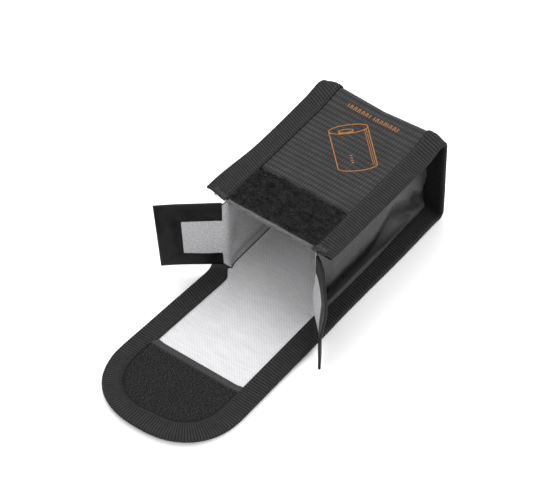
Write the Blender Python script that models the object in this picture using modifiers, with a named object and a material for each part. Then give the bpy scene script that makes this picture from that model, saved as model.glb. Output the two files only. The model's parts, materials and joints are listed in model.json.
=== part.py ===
"""Lipo safe bag: a small fire-resistant pouch for a battery pack.

The bag lies on its back panel with its flap open on the table.  One long strip of
coated glass-fibre cloth makes the front, the closed end, the back and the flap.  Two
gussets make its sides, and each runs on past the mouth as a side tab.  All raw edges
stand out as fins that are bound with folded tape.

Frame, in metres: the origin is the centre of the back panel's underside, +X is across
the bag, +Y runs from the mouth to the closed end and +Z is up.
"""

import math

import bmesh
import bpy
from mathutils import Matrix, Vector

MM = 0.001

# Driving dimensions
WIDTH = 66.0 * MM          # across the bound edges
LENGTH = 84.0 * MM         # mouth to closed end
DEPTH = 46.5 * MM          # underside of the back to the top of the front binding
FLAP_LENGTH = 94.2 * MM    # mouth to the flap's tip
TAPE_WIDTH = 9.8 * MM      # face of the binding tape that shows
CLOTH = 0.45 * MM          # thickness of shell and lining cloth
TAPE = 0.5 * MM            # thickness of the binding tape
GAP = 0.3 * MM             # clearance between neighbouring layers

# Levels, measured inwards from the outer face of the binding tape
SHELL_LEVEL = TAPE + GAP
LINING_LEVEL = SHELL_LEVEL + CLOTH + GAP
BINDING = 2.0 * TAPE + 2.0 * CLOTH + 3.0 * GAP

# Plan of the bag
HALF = WIDTH / 2.0
MOUTH_Y = -LENGTH / 2.0
END_Y = LENGTH / 2.0
CORNER = 4.0 * MM                       # rounding of the closed end's two folds
TAPE_EDGE = HALF - TAPE_WIDTH           # inner edge of the tape's outer face
TAPE_BACK_WIDTH = TAPE_WIDTH - 1.4 * MM # hidden face of the tape inside a side fin
CLOTH_EDGE = HALF - TAPE - GAP          # how far the cloth reaches into the tape
WALL_X = 24.3 * MM                      # outer face of a gusset's wall
WALL_LINING_X = WALL_X - CLOTH - GAP
PANEL_LINING_X = WALL_LINING_X - CLOTH - GAP
GUSSET_MOUTH_Y = MOUTH_Y + 1.8 * MM
BACK_MOUTH_Y = MOUTH_Y - 1.4 * MM
SAG_EDGE_X = TAPE_EDGE - 0.2 * MM       # the back panel starts to sink here
SAG_INNER_X = TAPE_EDGE - 1.6 * MM      # and touches the table inside this

# Flap
LIFT_Y = MOUTH_Y - 2.2 * MM             # fold at the mouth
FOLD_Y = MOUTH_Y - 48.8 * MM            # fold over the front panel's edge
FOLD_Z = 2.2 * MM                       # both folds are near the inner surface
FOLD_START = 0.9 * MM                   # cloth beyond a fold starts this far from it
FOLD_END = 0.3 * MM                     # cloth before a fold stops this far from it
TIP_Y = MOUTH_Y - FLAP_LENGTH
TIP_START_Y = MOUTH_Y - 60.0 * MM       # the rounded tip starts here
TIP_POWER = 2.4                         # fullness of the rounded tip
PATCH_Y = MOUTH_Y - 49.9 * MM
PATCH_TOP = 3.1 * MM

# Front panel
HEM_EDGE_Y = MOUTH_Y - 0.3 * MM
HEM_FACE = 2.2 * MM
HEM_BACK = 6.0 * MM
HEM_CLOTH = 0.3 * MM
HEM_DEPTH = 1.0 * MM                    # the front panel's cloth stops this far inside
LOOP_START_Y = HEM_EDGE_Y + HEM_FACE + GAP
LOOP_END_Y = MOUTH_Y + 24.0 * MM
LOOP_TOP = DEPTH + 1.0 * MM
LOOP_HALF = TAPE_EDGE - GAP
TACK_SIZE = (6.0 * MM, 1.6 * MM, 0.8 * MM)

# Side tabs: they turn about upright axes at the mouth's corners
TAB_LENGTH = 28.5 * MM
TAB_LOW = 4.8 * MM
TAB_HIGH = 43.0 * MM
TAB_ROOT = 1.0 * MM
HINGE_X = 25.4 * MM
HINGE_Y = MOUTH_Y - 0.3 * MM
TAB_OPEN = {"left": 50.0, "right": 44.0}  # degrees outwards from -Y
SIDES = {"left": -1.0, "right": 1.0}

ARC_STEPS = 5
TIP_STEPS = 28

# Colours: base colour, roughness
SHELL_LOOK = ((0.062, 0.062, 0.064), 0.5)
LINING_LOOK = ((0.78, 0.78, 0.76), 0.8)
GUSSET_LOOK = ((0.022, 0.022, 0.024), 0.38)
TAPE_LOOK = ((0.026, 0.026, 0.027), 0.85)
LOOP_LOOK = ((0.014, 0.014, 0.015), 0.95)
HOOK_LOOK = ((0.03, 0.03, 0.031), 0.75)
HEM_LOOK = ((0.2, 0.2, 0.205), 0.6)
THREAD_LOOK = ((0.012, 0.012, 0.012), 0.8)


# ---------------------------------------------------------------- scene and materials

def clear_scene():
    """Remove every object that the file starts with."""
    for thing in list(bpy.data.objects):
        bpy.data.objects.remove(thing, do_unlink=True)


def parts_collection():
    """Make the collection that holds the bag's pieces."""
    collection = bpy.data.collections.new("lipo_safe_bag")
    bpy.context.scene.collection.children.link(collection)
    return collection


def material(name, look):
    """Make one piece's own Principled material."""
    colour, roughness = look
    made = bpy.data.materials.new(name + "_material")
    made.use_nodes = True
    shader = made.node_tree.nodes["Principled BSDF"]
    shader.inputs["Base Color"].default_value = (*colour, 1.0)
    shader.inputs["Roughness"].default_value = roughness
    shader.inputs["Metallic"].default_value = 0.0
    return made


def piece(name, bm, look, parent=None):
    """Turn a bmesh into a named object, held by its joint's empty if it has one."""
    mesh = bpy.data.meshes.new(name)
    bm.to_mesh(mesh)
    bm.free()
    mesh.materials.append(material(name, look))
    thing = bpy.data.objects.new(name, mesh)
    PARTS.objects.link(thing)
    if parent is not None:
        thing.parent = parent
    return thing


def thicken(thing, thickness):
    """Give an open surface its thickness, on the side that its faces look away from."""
    solidify = thing.modifiers.new("thickness", "SOLIDIFY")
    solidify.thickness = thickness
    solidify.offset = -1.0
    solidify.use_even_offset = True
    return thing


def joint_empty(name, location, parent=None):
    """Make the empty that stands on a joint's axis."""
    empty = bpy.data.objects.new(name, None)
    empty.empty_display_size = 0.01
    PARTS.objects.link(empty)
    empty.location = Vector(location)
    if parent is not None:
        empty.parent = parent
        empty.location -= parent.location
    return empty


# ---------------------------------------------------------------- cloth surfaces

def surface(columns, rows, place, side=1.0):
    """Bend a flat grid so that its vertex in column i and row j stands at place(i, j).

    With side -1 the surface is mirrored to the bag's other side.
    """
    bm = bmesh.new()
    bmesh.ops.create_grid(bm, x_segments=columns - 1, y_segments=rows - 1, size=0.5)
    for vertex in bm.verts:
        i = round((vertex.co.x + 0.5) * (columns - 1))
        j = round((vertex.co.y + 0.5) * (rows - 1))
        vertex.co = place(i, j)
        vertex.co.x *= side
    if side < 0.0:
        bmesh.ops.reverse_faces(bm, faces=bm.faces)
    return bm


def strip_path(first, last):
    """Stations along the strip from arc length first to last: point and outward normal.

    The strip runs along the front from the mouth, down the closed end and back along
    the underside, with a rounded fold at each of the end's corners.
    """
    return [strip_station(s) for s in stations_between(first, last)]


def stations_between(first, last):
    """Arc lengths where the strip needs a row of vertices."""
    inner = []
    for start in (FRONT_RUN, FRONT_RUN + FOLD_RUN + END_RUN):
        inner += [start + FOLD_RUN * k / ARC_STEPS for k in range(ARC_STEPS + 1)]
    inner.append(SAG_START)
    inner.append(SAG_FULL)
    margin = 0.2 * MM
    kept = [s for s in inner if first + margin < s < last - margin]
    return [first] + sorted(kept) + [last]


FRONT_RUN = LENGTH - CORNER
FOLD_RUN = CORNER * math.pi / 2.0
END_RUN = DEPTH - 2.0 * CORNER
BACK_START = FRONT_RUN + 2.0 * FOLD_RUN + END_RUN
SAG_START = BACK_START + 1.0 * MM
SAG_FULL = BACK_START + 9.0 * MM
BACK_STOP = BACK_START + (END_Y - CORNER - BACK_MOUTH_Y)


def strip_station(s):
    """Point on the binding's outer face and its outward normal at arc length s."""
    if s <= FRONT_RUN:
        return Vector((0.0, MOUTH_Y + s, DEPTH)), Vector((0.0, 0.0, 1.0))
    if s <= FRONT_RUN + FOLD_RUN:
        angle = (s - FRONT_RUN) / CORNER
        centre = Vector((0.0, END_Y - CORNER, DEPTH - CORNER))
    elif s <= FRONT_RUN + FOLD_RUN + END_RUN:
        drop = s - FRONT_RUN - FOLD_RUN
        return Vector((0.0, END_Y, DEPTH - CORNER - drop)), Vector((0.0, 1.0, 0.0))
    elif s <= BACK_START:
        angle = math.pi / 2.0 + (s - BACK_START + FOLD_RUN) / CORNER
        centre = Vector((0.0, END_Y - CORNER, CORNER))
    else:
        y = END_Y - CORNER - (s - BACK_START)
        return Vector((0.0, y, 0.0)), Vector((0.0, 0.0, -1.0))
    normal = Vector((0.0, math.sin(angle), math.cos(angle)))
    return centre + normal * CORNER, normal


def sag(x, s):
    """How far a panel of the underside sinks between its bindings to touch the table."""
    if s <= SAG_START or abs(x) >= SAG_EDGE_X:
        return 0.0
    along = min(1.0, (s - SAG_START) / (SAG_FULL - SAG_START))
    across = (SAG_EDGE_X - abs(x)) / (SAG_EDGE_X - SAG_INNER_X)
    return SHELL_LEVEL * along * min(1.0, across)


def panel(name, look, level, half_width, first, last, outwards=True):
    """One panel of the strip, a sheet at the given level inside the binding."""
    inner = [x for x in (SAG_EDGE_X, SAG_INNER_X) if x < half_width]
    across = [half_width] + inner
    xs = sorted([-x for x in across] + across)
    lengths = stations_between(first, last)

    def place(i, j):
        point, normal = strip_station(lengths[j])
        depth = level - sag(xs[i], lengths[j])
        return point - normal * depth + Vector((xs[i], 0.0, 0.0))

    return thicken(piece(name, surface(len(xs), len(lengths), place), look), CLOTH)


# ---------------------------------------------------------------- binding tape

def tape_section(face, back, thickness=BINDING):
    """Outer surface of a folded tape: (distance in from the edge, depth) pairs."""
    radius = thickness / 2.0
    fold = []
    for k in range(1, 6):
        angle = math.pi * k / 6.0
        out = radius * 0.55 * math.sin(angle)
        fold.append((radius * 0.55 - out, radius - radius * math.cos(angle)))
    start = [(face, 0.0), (radius * 0.55, 0.0)]
    finish = [(radius * 0.55, thickness), (back, thickness)]
    return start + fold + finish


def binding(name, stations, section, look=TAPE_LOOK, side=1.0, parent=None, wall=TAPE):
    """A folded tape along stations of (edge point, inward direction, face normal)."""

    def place(i, j):
        edge, inward, normal = stations[j]
        distance, depth = section[i]
        return edge + inward * distance - normal * depth

    bm = surface(len(section), len(stations), place, side)
    return thicken(piece(name, bm, look, parent), wall)


def side_stations(first, last):
    """Stations of the right-hand fin's edge between two arc lengths of the strip."""
    inward = Vector((-1.0, 0.0, 0.0))
    edge = Vector((HALF, 0.0, 0.0))
    return [(point + edge, inward, normal) for point, normal in strip_path(first, last)]


def level_stations(first_y, last_y):
    """Stations of the flap's right-hand edge, with the tape's first face on top."""
    inward = Vector((-1.0, 0.0, 0.0))
    up = Vector((0.0, 0.0, 1.0))
    return [(Vector((HALF, y, BINDING)), inward, up) for y in (first_y, last_y)]


# ---------------------------------------------------------------- fixed pieces

def body_panels():
    """Shell and lining of the front, the closed end and the back."""
    half_gap = GAP / 2.0
    spans = {
        "front": (0.0, FRONT_RUN - half_gap),
        "end": (FRONT_RUN + half_gap, BACK_START - half_gap),
        "back": (BACK_START + half_gap, BACK_STOP),
    }
    for where, (first, last) in spans.items():
        start = HEM_DEPTH if where == "front" else first
        panel(where + "_panel_shell", SHELL_LOOK, SHELL_LEVEL, CLOTH_EDGE, start, last)
        panel(where + "_panel_lining", LINING_LOOK, LINING_LEVEL, PANEL_LINING_X, start, last)
        for side_name, side in SIDES.items():
            binding(
                side_name + "_binding_" + where,
                side_stations(first, last),
                tape_section(TAPE_WIDTH, TAPE_BACK_WIDTH),
                side=side,
            )


def gusset_outline(level):
    """Outline of a gusset's wall at a level inside the strip, from mouth to mouth."""
    first = GUSSET_MOUTH_Y - MOUTH_Y
    last = BACK_START + (END_Y - CORNER - GUSSET_MOUTH_Y)
    return [point - normal * level for point, normal in strip_path(first, last)]


def wall_face(bm, outline, x):
    """Fill the outline with one face that looks along +X."""
    corners = [bm.verts.new((x, point.y, point.z)) for point in outline]
    face = bm.faces.new(corners)
    face.normal_update()
    if face.normal.x < 0.0:
        face.normal_flip()
    return face


def gusset(side_name):
    """A gusset: its wall, with three edges turned out into the side fin, and a lining."""
    side = SIDES[side_name]
    bm = bmesh.new()
    face = wall_face(bm, gusset_outline(LINING_LEVEL + CLOTH), WALL_X)
    turned = [e for e in face.edges if max(v.co.y for v in e.verts) > GUSSET_MOUTH_Y + MM]
    made = bmesh.ops.extrude_edge_only(bm, edges=turned)
    for vertex in (v for v in made["geom"] if isinstance(v, bmesh.types.BMVert)):
        vertex.co.x = CLOTH_EDGE
    bmesh.ops.recalc_face_normals(bm, faces=bm.faces)
    face = max(bm.faces, key=lambda f: f.calc_area())
    if face.normal.x < 0.0:
        bmesh.ops.reverse_faces(bm, faces=bm.faces)
    mirror_to(bm, side)
    thicken(piece(side_name + "_gusset_shell", bm, GUSSET_LOOK), CLOTH)

    bm = bmesh.new()
    wall_face(bm, gusset_outline(LINING_LEVEL + CLOTH + GAP), WALL_LINING_X)
    mirror_to(bm, side)
    thicken(piece(side_name + "_gusset_lining", bm, LINING_LOOK), CLOTH)


def mirror_to(bm, side):
    """Mirror a right-hand piece to the left when side is -1."""
    if side < 0.0:
        bmesh.ops.scale(bm, verts=bm.verts, vec=(-1.0, 1.0, 1.0))
        bmesh.ops.reverse_faces(bm, faces=bm.faces)


def mouth_hem():
    """The tape folded over the front panel's free edge."""
    inward = Vector((0.0, 1.0, 0.0))
    up = Vector((0.0, 0.0, 1.0))
    top = DEPTH - SHELL_LEVEL + GAP + HEM_CLOTH
    height = 2.0 * HEM_CLOTH + 3.0 * GAP + 2.0 * CLOTH
    half_width = PANEL_LINING_X - GAP
    ends = [Vector((x, HEM_EDGE_Y, top)) for x in (-half_width, half_width)]
    stations = [(end, inward, up) for end in ends]
    section = tape_section(HEM_FACE, HEM_BACK, height)
    binding("mouth_hem", stations, section, HEM_LOOK, wall=HEM_CLOTH)


def block(name, low, high, look, parent=None, rounding=0.3 * MM):
    """A box between two corners, with its edges rounded."""
    bm = bmesh.new()
    bmesh.ops.create_cube(bm, size=1.0)
    size = high - low
    bmesh.ops.scale(bm, verts=bm.verts, vec=size)
    bmesh.ops.translate(bm, verts=bm.verts, vec=(low + high) / 2.0)
    thing = piece(name, bm, look, parent)
    bevel = thing.modifiers.new("rounding", "BEVEL")
    bevel.width = rounding
    bevel.segments = 2
    return thing


def loop_strip():
    """The soft loop strip sewn across the front panel at the mouth."""
    low = Vector((-LOOP_HALF, LOOP_START_Y, DEPTH - SHELL_LEVEL + GAP))
    high = Vector((LOOP_HALF, LOOP_END_Y, LOOP_TOP))
    block("loop_strip", low, high, LOOP_LOOK)


def bar_tacks():
    """Thread bar tacks that close the binding's ends at the mouth's top corners."""
    length, width, height = TACK_SIZE
    for side_name, side in SIDES.items():
        centre_x = side * (TAPE_EDGE + GAP + length / 2.0)
        low = Vector((centre_x - length / 2.0, MOUTH_Y + 0.6 * MM, DEPTH + GAP))
        high = low + Vector((length, width, height))
        block(side_name + "_bar_tack", low, high, THREAD_LOOK, rounding=0.25 * MM)


# ---------------------------------------------------------------- flap

def flap_cover(hinge):
    """The part of the flap that covers the mouth, between its two folds."""
    first_y = LIFT_Y - FOLD_START
    last_y = FOLD_Y + FOLD_END
    lift = BACK_STOP + (BACK_MOUTH_Y - first_y)
    fold = BACK_STOP + (BACK_MOUTH_Y - last_y)
    shell = panel("flap_cover_shell", SHELL_LOOK, SHELL_LEVEL, CLOTH_EDGE, lift, fold)
    lining = panel("flap_cover_lining", LINING_LOOK, LINING_LEVEL, CLOTH_EDGE, lift, fold)
    for sheet in (shell, lining):
        hang_on(sheet, hinge)
    for side_name, side in SIDES.items():
        tape = binding(
            side_name + "_binding_flap_cover",
            level_stations(last_y, first_y),
            tape_section(TAPE_WIDTH, TAPE_WIDTH),
            side=side,
        )
        hang_on(tape, hinge)


def hang_on(thing, empty):
    """Parent a piece drawn in the bag's frame to a joint's empty, without moving it."""
    thing.parent = empty
    thing.matrix_parent_inverse = Matrix.Translation(-world_place(empty))


def world_place(empty):
    """Where an unturned empty stands in the bag's frame."""
    place = empty.location.copy()
    while empty.parent is not None:
        empty = empty.parent
        place += empty.location
    return place


def tip_point(angle, inset=0.0):
    """Point on the flap's rounded tip; angle 0 is the right edge, pi the left."""
    across = math.copysign(abs(math.cos(angle)) ** (2.0 / TIP_POWER), math.cos(angle))
    along = abs(math.sin(angle)) ** (2.0 / TIP_POWER)
    reach = TIP_START_Y - TIP_Y - inset
    return Vector((across * (HALF - inset), TIP_START_Y - along * reach, 0.0))


def tongue_outline(inset=0.0):
    """Outline of the tongue from the fold's left end round the tip to its right end."""
    start_y = FOLD_Y - FOLD_START
    angles = [math.pi * (1.0 - k / TIP_STEPS) for k in range(TIP_STEPS + 1)]
    left = Vector((-(HALF - inset), start_y, 0.0))
    right = Vector((HALF - inset, start_y, 0.0))
    return [left] + [tip_point(angle, inset) for angle in angles] + [right]


def tongue_stations():
    """Edge stations of the tongue's binding, which runs round the rounded tip."""
    points = tongue_outline()
    up = Vector((0.0, 0.0, 1.0))
    lifted = Vector((0.0, 0.0, BINDING))
    stations = []
    for k, point in enumerate(points):
        before = points[max(k - 1, 0)]
        after = points[min(k + 1, len(points) - 1)]
        along = (after - before).normalized()
        stations.append((point + lifted, up.cross(along), up))
    return stations


def flat_sheet(name, outline, top, thickness, look, hinge):
    """A flat sheet with the given outline and top level."""
    bm = bmesh.new()
    corners = [bm.verts.new((point.x, point.y, top)) for point in outline]
    face = bm.faces.new(corners)
    face.normal_update()
    if face.normal.z < 0.0:
        face.normal_flip()
    thing = thicken(piece(name, bm, look), thickness)
    hang_on(thing, hinge)
    return thing


def patch_outline():
    """The D-shaped hook patch inside the tongue's binding."""
    clear = TAPE_WIDTH + GAP
    kept = [p for p in tongue_outline(clear) if p.y < PATCH_Y - MM]
    left = Vector((-(HALF - clear), PATCH_Y, 0.0))
    right = Vector((HALF - clear, PATCH_Y, 0.0))
    return [left] + kept + [right]


def flap_tongue(hinge):
    """The flap's end, which folds down on the front panel and carries the hooks."""
    edge = tongue_outline(TAPE + GAP)
    shell_top = SHELL_LEVEL + CLOTH
    lining_top = LINING_LEVEL + CLOTH
    flat_sheet("flap_tongue_shell", edge, shell_top, CLOTH, SHELL_LOOK, hinge)
    flat_sheet("flap_tongue_lining", edge, lining_top, CLOTH, LINING_LOOK, hinge)
    patch_depth = PATCH_TOP - lining_top - GAP
    flat_sheet("hook_patch", patch_outline(), PATCH_TOP, patch_depth, HOOK_LOOK, hinge)
    section = tape_section(TAPE_WIDTH, TAPE_WIDTH)
    tape = binding("flap_tongue_binding", tongue_stations(), section)
    hang_on(tape, hinge)


# ---------------------------------------------------------------- side tabs

def tab(side_name, hinge):
    """A side tab: shell, lining and a binding with mitred corners on three edges.

    It is drawn in the tab's own frame, with X along it, its lining looking along -Y and
    Z up, and then turned into place.
    """
    side = SIDES[side_name]
    turn = tab_turn(side_name)
    low, high = TAB_LOW, TAB_HIGH
    end = TAB_LENGTH
    inside = Vector((0.0, -1.0, 0.0))
    across = inside * (BINDING / 2.0)
    corners = (
        (Vector((TAB_ROOT, 0.0, low)), Vector((0.0, 0.0, 1.0))),
        (Vector((end, 0.0, low)), Vector((-1.0, 0.0, 1.0))),
        (Vector((end, 0.0, high)), Vector((-1.0, 0.0, -1.0))),
        (Vector((TAB_ROOT, 0.0, high)), Vector((0.0, 0.0, -1.0))),
    )
    stations = [(corner + across, inward, inside) for corner, inward in corners]
    section = tape_section(TAPE_WIDTH, TAPE_WIDTH)
    tape = binding(side_name + "_tab_binding", stations, section)
    sheets = (
        ("_tab_lining", SHELL_LEVEL - BINDING / 2.0, LINING_LOOK),
        ("_tab_shell", LINING_LEVEL - BINDING / 2.0, GUSSET_LOOK),
    )
    things = [tape]
    margin = TAPE + GAP
    for suffix, depth, look in sheets:
        first = Vector((TAB_ROOT, depth, low + margin))
        last = Vector((end - margin, depth, high - margin))
        things.append(upright_sheet(side_name + suffix, first, last, look))
    for thing in things:
        thing.data.transform(turn)
        if side < 0.0:
            thing.data.flip_normals()
        thing.parent = hinge


def upright_sheet(name, first, last, look):
    """A sheet in the XZ plane between two corners, thickened towards +Y."""
    bm = bmesh.new()
    xs = (first.x, last.x, last.x, first.x)
    zs = (first.z, first.z, last.z, last.z)
    face = bm.faces.new([bm.verts.new((x, first.y, z)) for x, z in zip(xs, zs)])
    face.normal_update()
    if face.normal.y > 0.0:
        face.normal_flip()
    return thicken(piece(name, bm, look), CLOTH)


def tab_turn(side_name):
    """Turn from the tab's own frame to its open place, mirrored for the left tab."""
    outwards = math.radians(TAB_OPEN[side_name])
    turned = Matrix.Rotation(outwards - math.pi / 2.0, 4, "Z")
    if SIDES[side_name] > 0.0:
        return turned
    return Matrix.Diagonal((-1.0, 1.0, 1.0, 1.0)) @ turned


# ---------------------------------------------------------------- the bag

def build():
    """Build every piece of the bag in its open, resting state."""
    body_panels()
    for side_name in SIDES:
        gusset(side_name)
    mouth_hem()
    loop_strip()
    bar_tacks()
    lift = joint_empty("flap_lift_axis", (0.0, LIFT_Y, FOLD_Z))
    fold = joint_empty("flap_fold_axis", (0.0, FOLD_Y, FOLD_Z), lift)
    flap_cover(lift)
    flap_tongue(fold)
    for side_name, side in SIDES.items():
        hinge = joint_empty(side_name + "_tab_axis", (side * HINGE_X, HINGE_Y, 0.0))
        tab(side_name, hinge)


clear_scene()
PARTS = parts_collection()
build()
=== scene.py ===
"""Looks of the lipo safe bag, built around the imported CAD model.

Every visible layer is a sheet or a folded tape that is swept along the strip of cloth
which makes the front, the closed end, the back and the flap. A point of a sheet is
(across, along, depth): across the bag, along the strip from the front's mouth edge,
and inwards from the outer face of the binding.
"""

import functools
import json
import math
from collections import namedtuple

import bmesh
import bpy
import numpy as np
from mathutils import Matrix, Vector


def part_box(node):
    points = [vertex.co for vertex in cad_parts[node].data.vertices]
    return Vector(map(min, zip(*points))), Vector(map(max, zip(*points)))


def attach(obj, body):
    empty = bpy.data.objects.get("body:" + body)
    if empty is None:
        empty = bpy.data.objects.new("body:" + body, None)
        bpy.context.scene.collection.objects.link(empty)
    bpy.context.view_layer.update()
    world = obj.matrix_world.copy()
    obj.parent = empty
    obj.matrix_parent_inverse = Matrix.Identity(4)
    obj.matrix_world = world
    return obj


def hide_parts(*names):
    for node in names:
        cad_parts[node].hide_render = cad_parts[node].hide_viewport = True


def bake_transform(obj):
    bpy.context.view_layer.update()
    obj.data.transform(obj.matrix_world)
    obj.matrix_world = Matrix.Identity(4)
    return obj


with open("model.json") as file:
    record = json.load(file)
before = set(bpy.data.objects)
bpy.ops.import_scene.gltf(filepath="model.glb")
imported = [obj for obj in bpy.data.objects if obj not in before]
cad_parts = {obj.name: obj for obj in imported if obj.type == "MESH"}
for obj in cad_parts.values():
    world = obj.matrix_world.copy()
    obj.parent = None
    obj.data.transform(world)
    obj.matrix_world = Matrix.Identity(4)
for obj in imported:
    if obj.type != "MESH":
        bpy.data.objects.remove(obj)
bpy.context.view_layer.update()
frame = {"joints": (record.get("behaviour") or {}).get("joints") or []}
MM = 0.001                                       # a millimetre in the frame's metres
Point = namedtuple("Point", "x y z")


def point(place):
    """A place of the frame, in millimetres."""
    return Point(*(value / MM for value in place))


def box(name):
    """Low and high corners of a CAD body, in millimetres."""
    return [point(corner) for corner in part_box(name)]


# ---------------------------------------------------------------- sizes from the frame
FIN_LOW, FIN_HIGH = box("right_binding_front")
HALF = FIN_HIGH.x                                # half the bag's width
TAPE_EDGE = FIN_LOW.x                            # inner edge of the binding's face
MOUTH_Y = FIN_LOW.y
END_Y = box("right_binding_end")[1].y
DEPTH = FIN_HIGH.z
BINDING = FIN_HIGH.z - FIN_LOW.z                 # thickness of a bound fin
SHELL_LEVEL = DEPTH - box("front_panel_shell")[1].z
LINING_LEVEL = DEPTH - box("front_panel_lining")[1].z
CLOTH_EDGE = box("front_panel_shell")[1].x
PANEL_LINING_X = box("front_panel_lining")[1].x
WALL_X = box("right_gusset_shell")[0].x          # inner face of a gusset's wall
GUSSET_MOUTH_Y = box("right_gusset_shell")[0].y
TIP_Y = box("flap_tongue_binding")[0].y
PATCH_Y = box("hook_patch")[1].y                  # straight edge of the hook patch
LOOP_LOW, LOOP_HIGH = box("loop_strip")
HEM_LOW, HEM_HIGH = box("mouth_hem")
TAB_LOW, TAB_HIGH = (corner.z for corner in box("right_tab_binding"))
JOINTS = {joint["name"]: joint for joint in frame["joints"]}
LIFT = point(Vector(JOINTS["flap_lift"]["pos_m"]))
FOLD = point(Vector(JOINTS["flap_fold"]["pos_m"]))

# ---------------------------------------------------------------- cloth and tape
CLOTH = 0.45
TAPE = 0.5
TAPE_FACE = HALF - TAPE_EDGE
TAPE_BACK = TAPE_FACE - 1.4
CORNER = 4.0                                     # folds of the closed end
TIP_START_Y = TIP_Y + 34.2
TIP_POWER = 2.4
TAB_LENGTH = 28.5
TAB_OPEN = {"left": 50.0, "right": 44.0}         # degrees outwards from -Y
SIDES = {"left": -1.0, "right": 1.0}
RIB_PITCH = 1.38
RIB_HEIGHT = 0.055
RIB_SKEW = {"left": -0.36, "right": 0.20}        # lean of the ribs, along per across
ROWS_PER_RIB = 5
WEAVE_ALONG = 2.7
WEAVE_ACROSS = 1.4
WEAVE_HEIGHT = 0.08
SHADE_BAND_TOP = 16.0                                # top of the band of painted shade on a gusset's wall
SHADE_BAND_HEIGHT = 9.5
PATCH_BORDER = 3.6                               # smooth edge of the hook patch
TAPE_START = {"left": 0.4, "right": -0.6}        # tape's cut end, along from the mouth
MOUTH_LEAN = {"left": 0.5, "right": 0.0}         # share of the ribs' lean left at the mouth
THREAD_REACH = 1.3                               # loose threads stay clear of the raised flap
SELVAGE = 1.1                                    # pressed border of a tape
PRESS = 0.22                                     # how deep it is pressed
SHARP = math.radians(50.0)                       # edges this sharp stay sharp when shaded

# Arc lengths along the strip
FRONT_RUN = END_Y - MOUTH_Y - CORNER
FOLD_RUN = CORNER * math.pi / 2.0
END_RUN = DEPTH - 2.0 * CORNER
BACK_START = FRONT_RUN + 2.0 * FOLD_RUN + END_RUN
CLOTH_START = 1.0


def along_at(y):
    """Arc length of the strip at a place on its underside."""
    return BACK_START + (END_Y - CORNER) - y


SPLIT_BACK = along_at(MOUTH_Y + 12.0)            # fixed part meets the lifting part
SPLIT_COVER = along_at((LIFT.y + FOLD.y) / 2.0)  # lifting part meets the tongue
TIP_START = along_at(TIP_START_Y)
TIP_END = along_at(TIP_Y)

# ---------------------------------------------------------------- camera
AZIMUTH = 36.8
ELEVATION = 47.65
DISTANCE = 1.7307
LENS = 257.1
AIM = Vector((-7.2, -25.2, 16.2)) * MM


def ramp(low, high, value):
    """Smooth step from 0 at low to 1 at high."""
    share = np.clip((value - low) / (high - low), 0.0, 1.0)
    return share * share * (3.0 - 2.0 * share)


def bell(value):
    """Smooth bump that is 1 at zero and dies away on both sides."""
    return np.exp(-(value ** 2))


def inward_of(outline):
    """Unit directions that point in from an outline seen from above."""
    along = np.gradient(outline, axis=0)
    along /= np.linalg.norm(along, axis=1, keepdims=True)
    return np.stack([-along[:, 1], along[:, 0]], -1)


def strip_frames(s):
    """Points on the binding's outer face and outward normals at arc lengths s."""
    s = np.asarray(s, float)
    first_fold = (s - FRONT_RUN) / CORNER
    second_fold = math.pi / 2.0 + (s - BACK_START + FOLD_RUN) / CORNER
    down = s - FRONT_RUN - FOLD_RUN
    cases = [
        s <= FRONT_RUN,
        s <= FRONT_RUN + FOLD_RUN,
        s <= FRONT_RUN + FOLD_RUN + END_RUN,
        s <= BACK_START,
    ]
    turn = np.select(cases, [0.0 * s, first_fold, 0.0 * s + math.pi / 2.0, second_fold], math.pi)
    ny, nz = np.sin(turn), np.cos(turn)
    y0, z_low, z_high = END_Y - CORNER, CORNER, DEPTH - CORNER
    y = np.select(
        cases,
        [MOUTH_Y + s, y0 + CORNER * ny, 0.0 * s + END_Y, y0 + CORNER * ny],
        y0 - (s - BACK_START),
    )
    z = np.select(
        cases,
        [0.0 * s + DEPTH, z_high + CORNER * nz, z_high - down, z_low + CORNER * nz],
        0.0,
    )
    zero = 0.0 * s
    return np.stack([zero, y, z], -1), np.stack([zero, ny, nz], -1)


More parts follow.
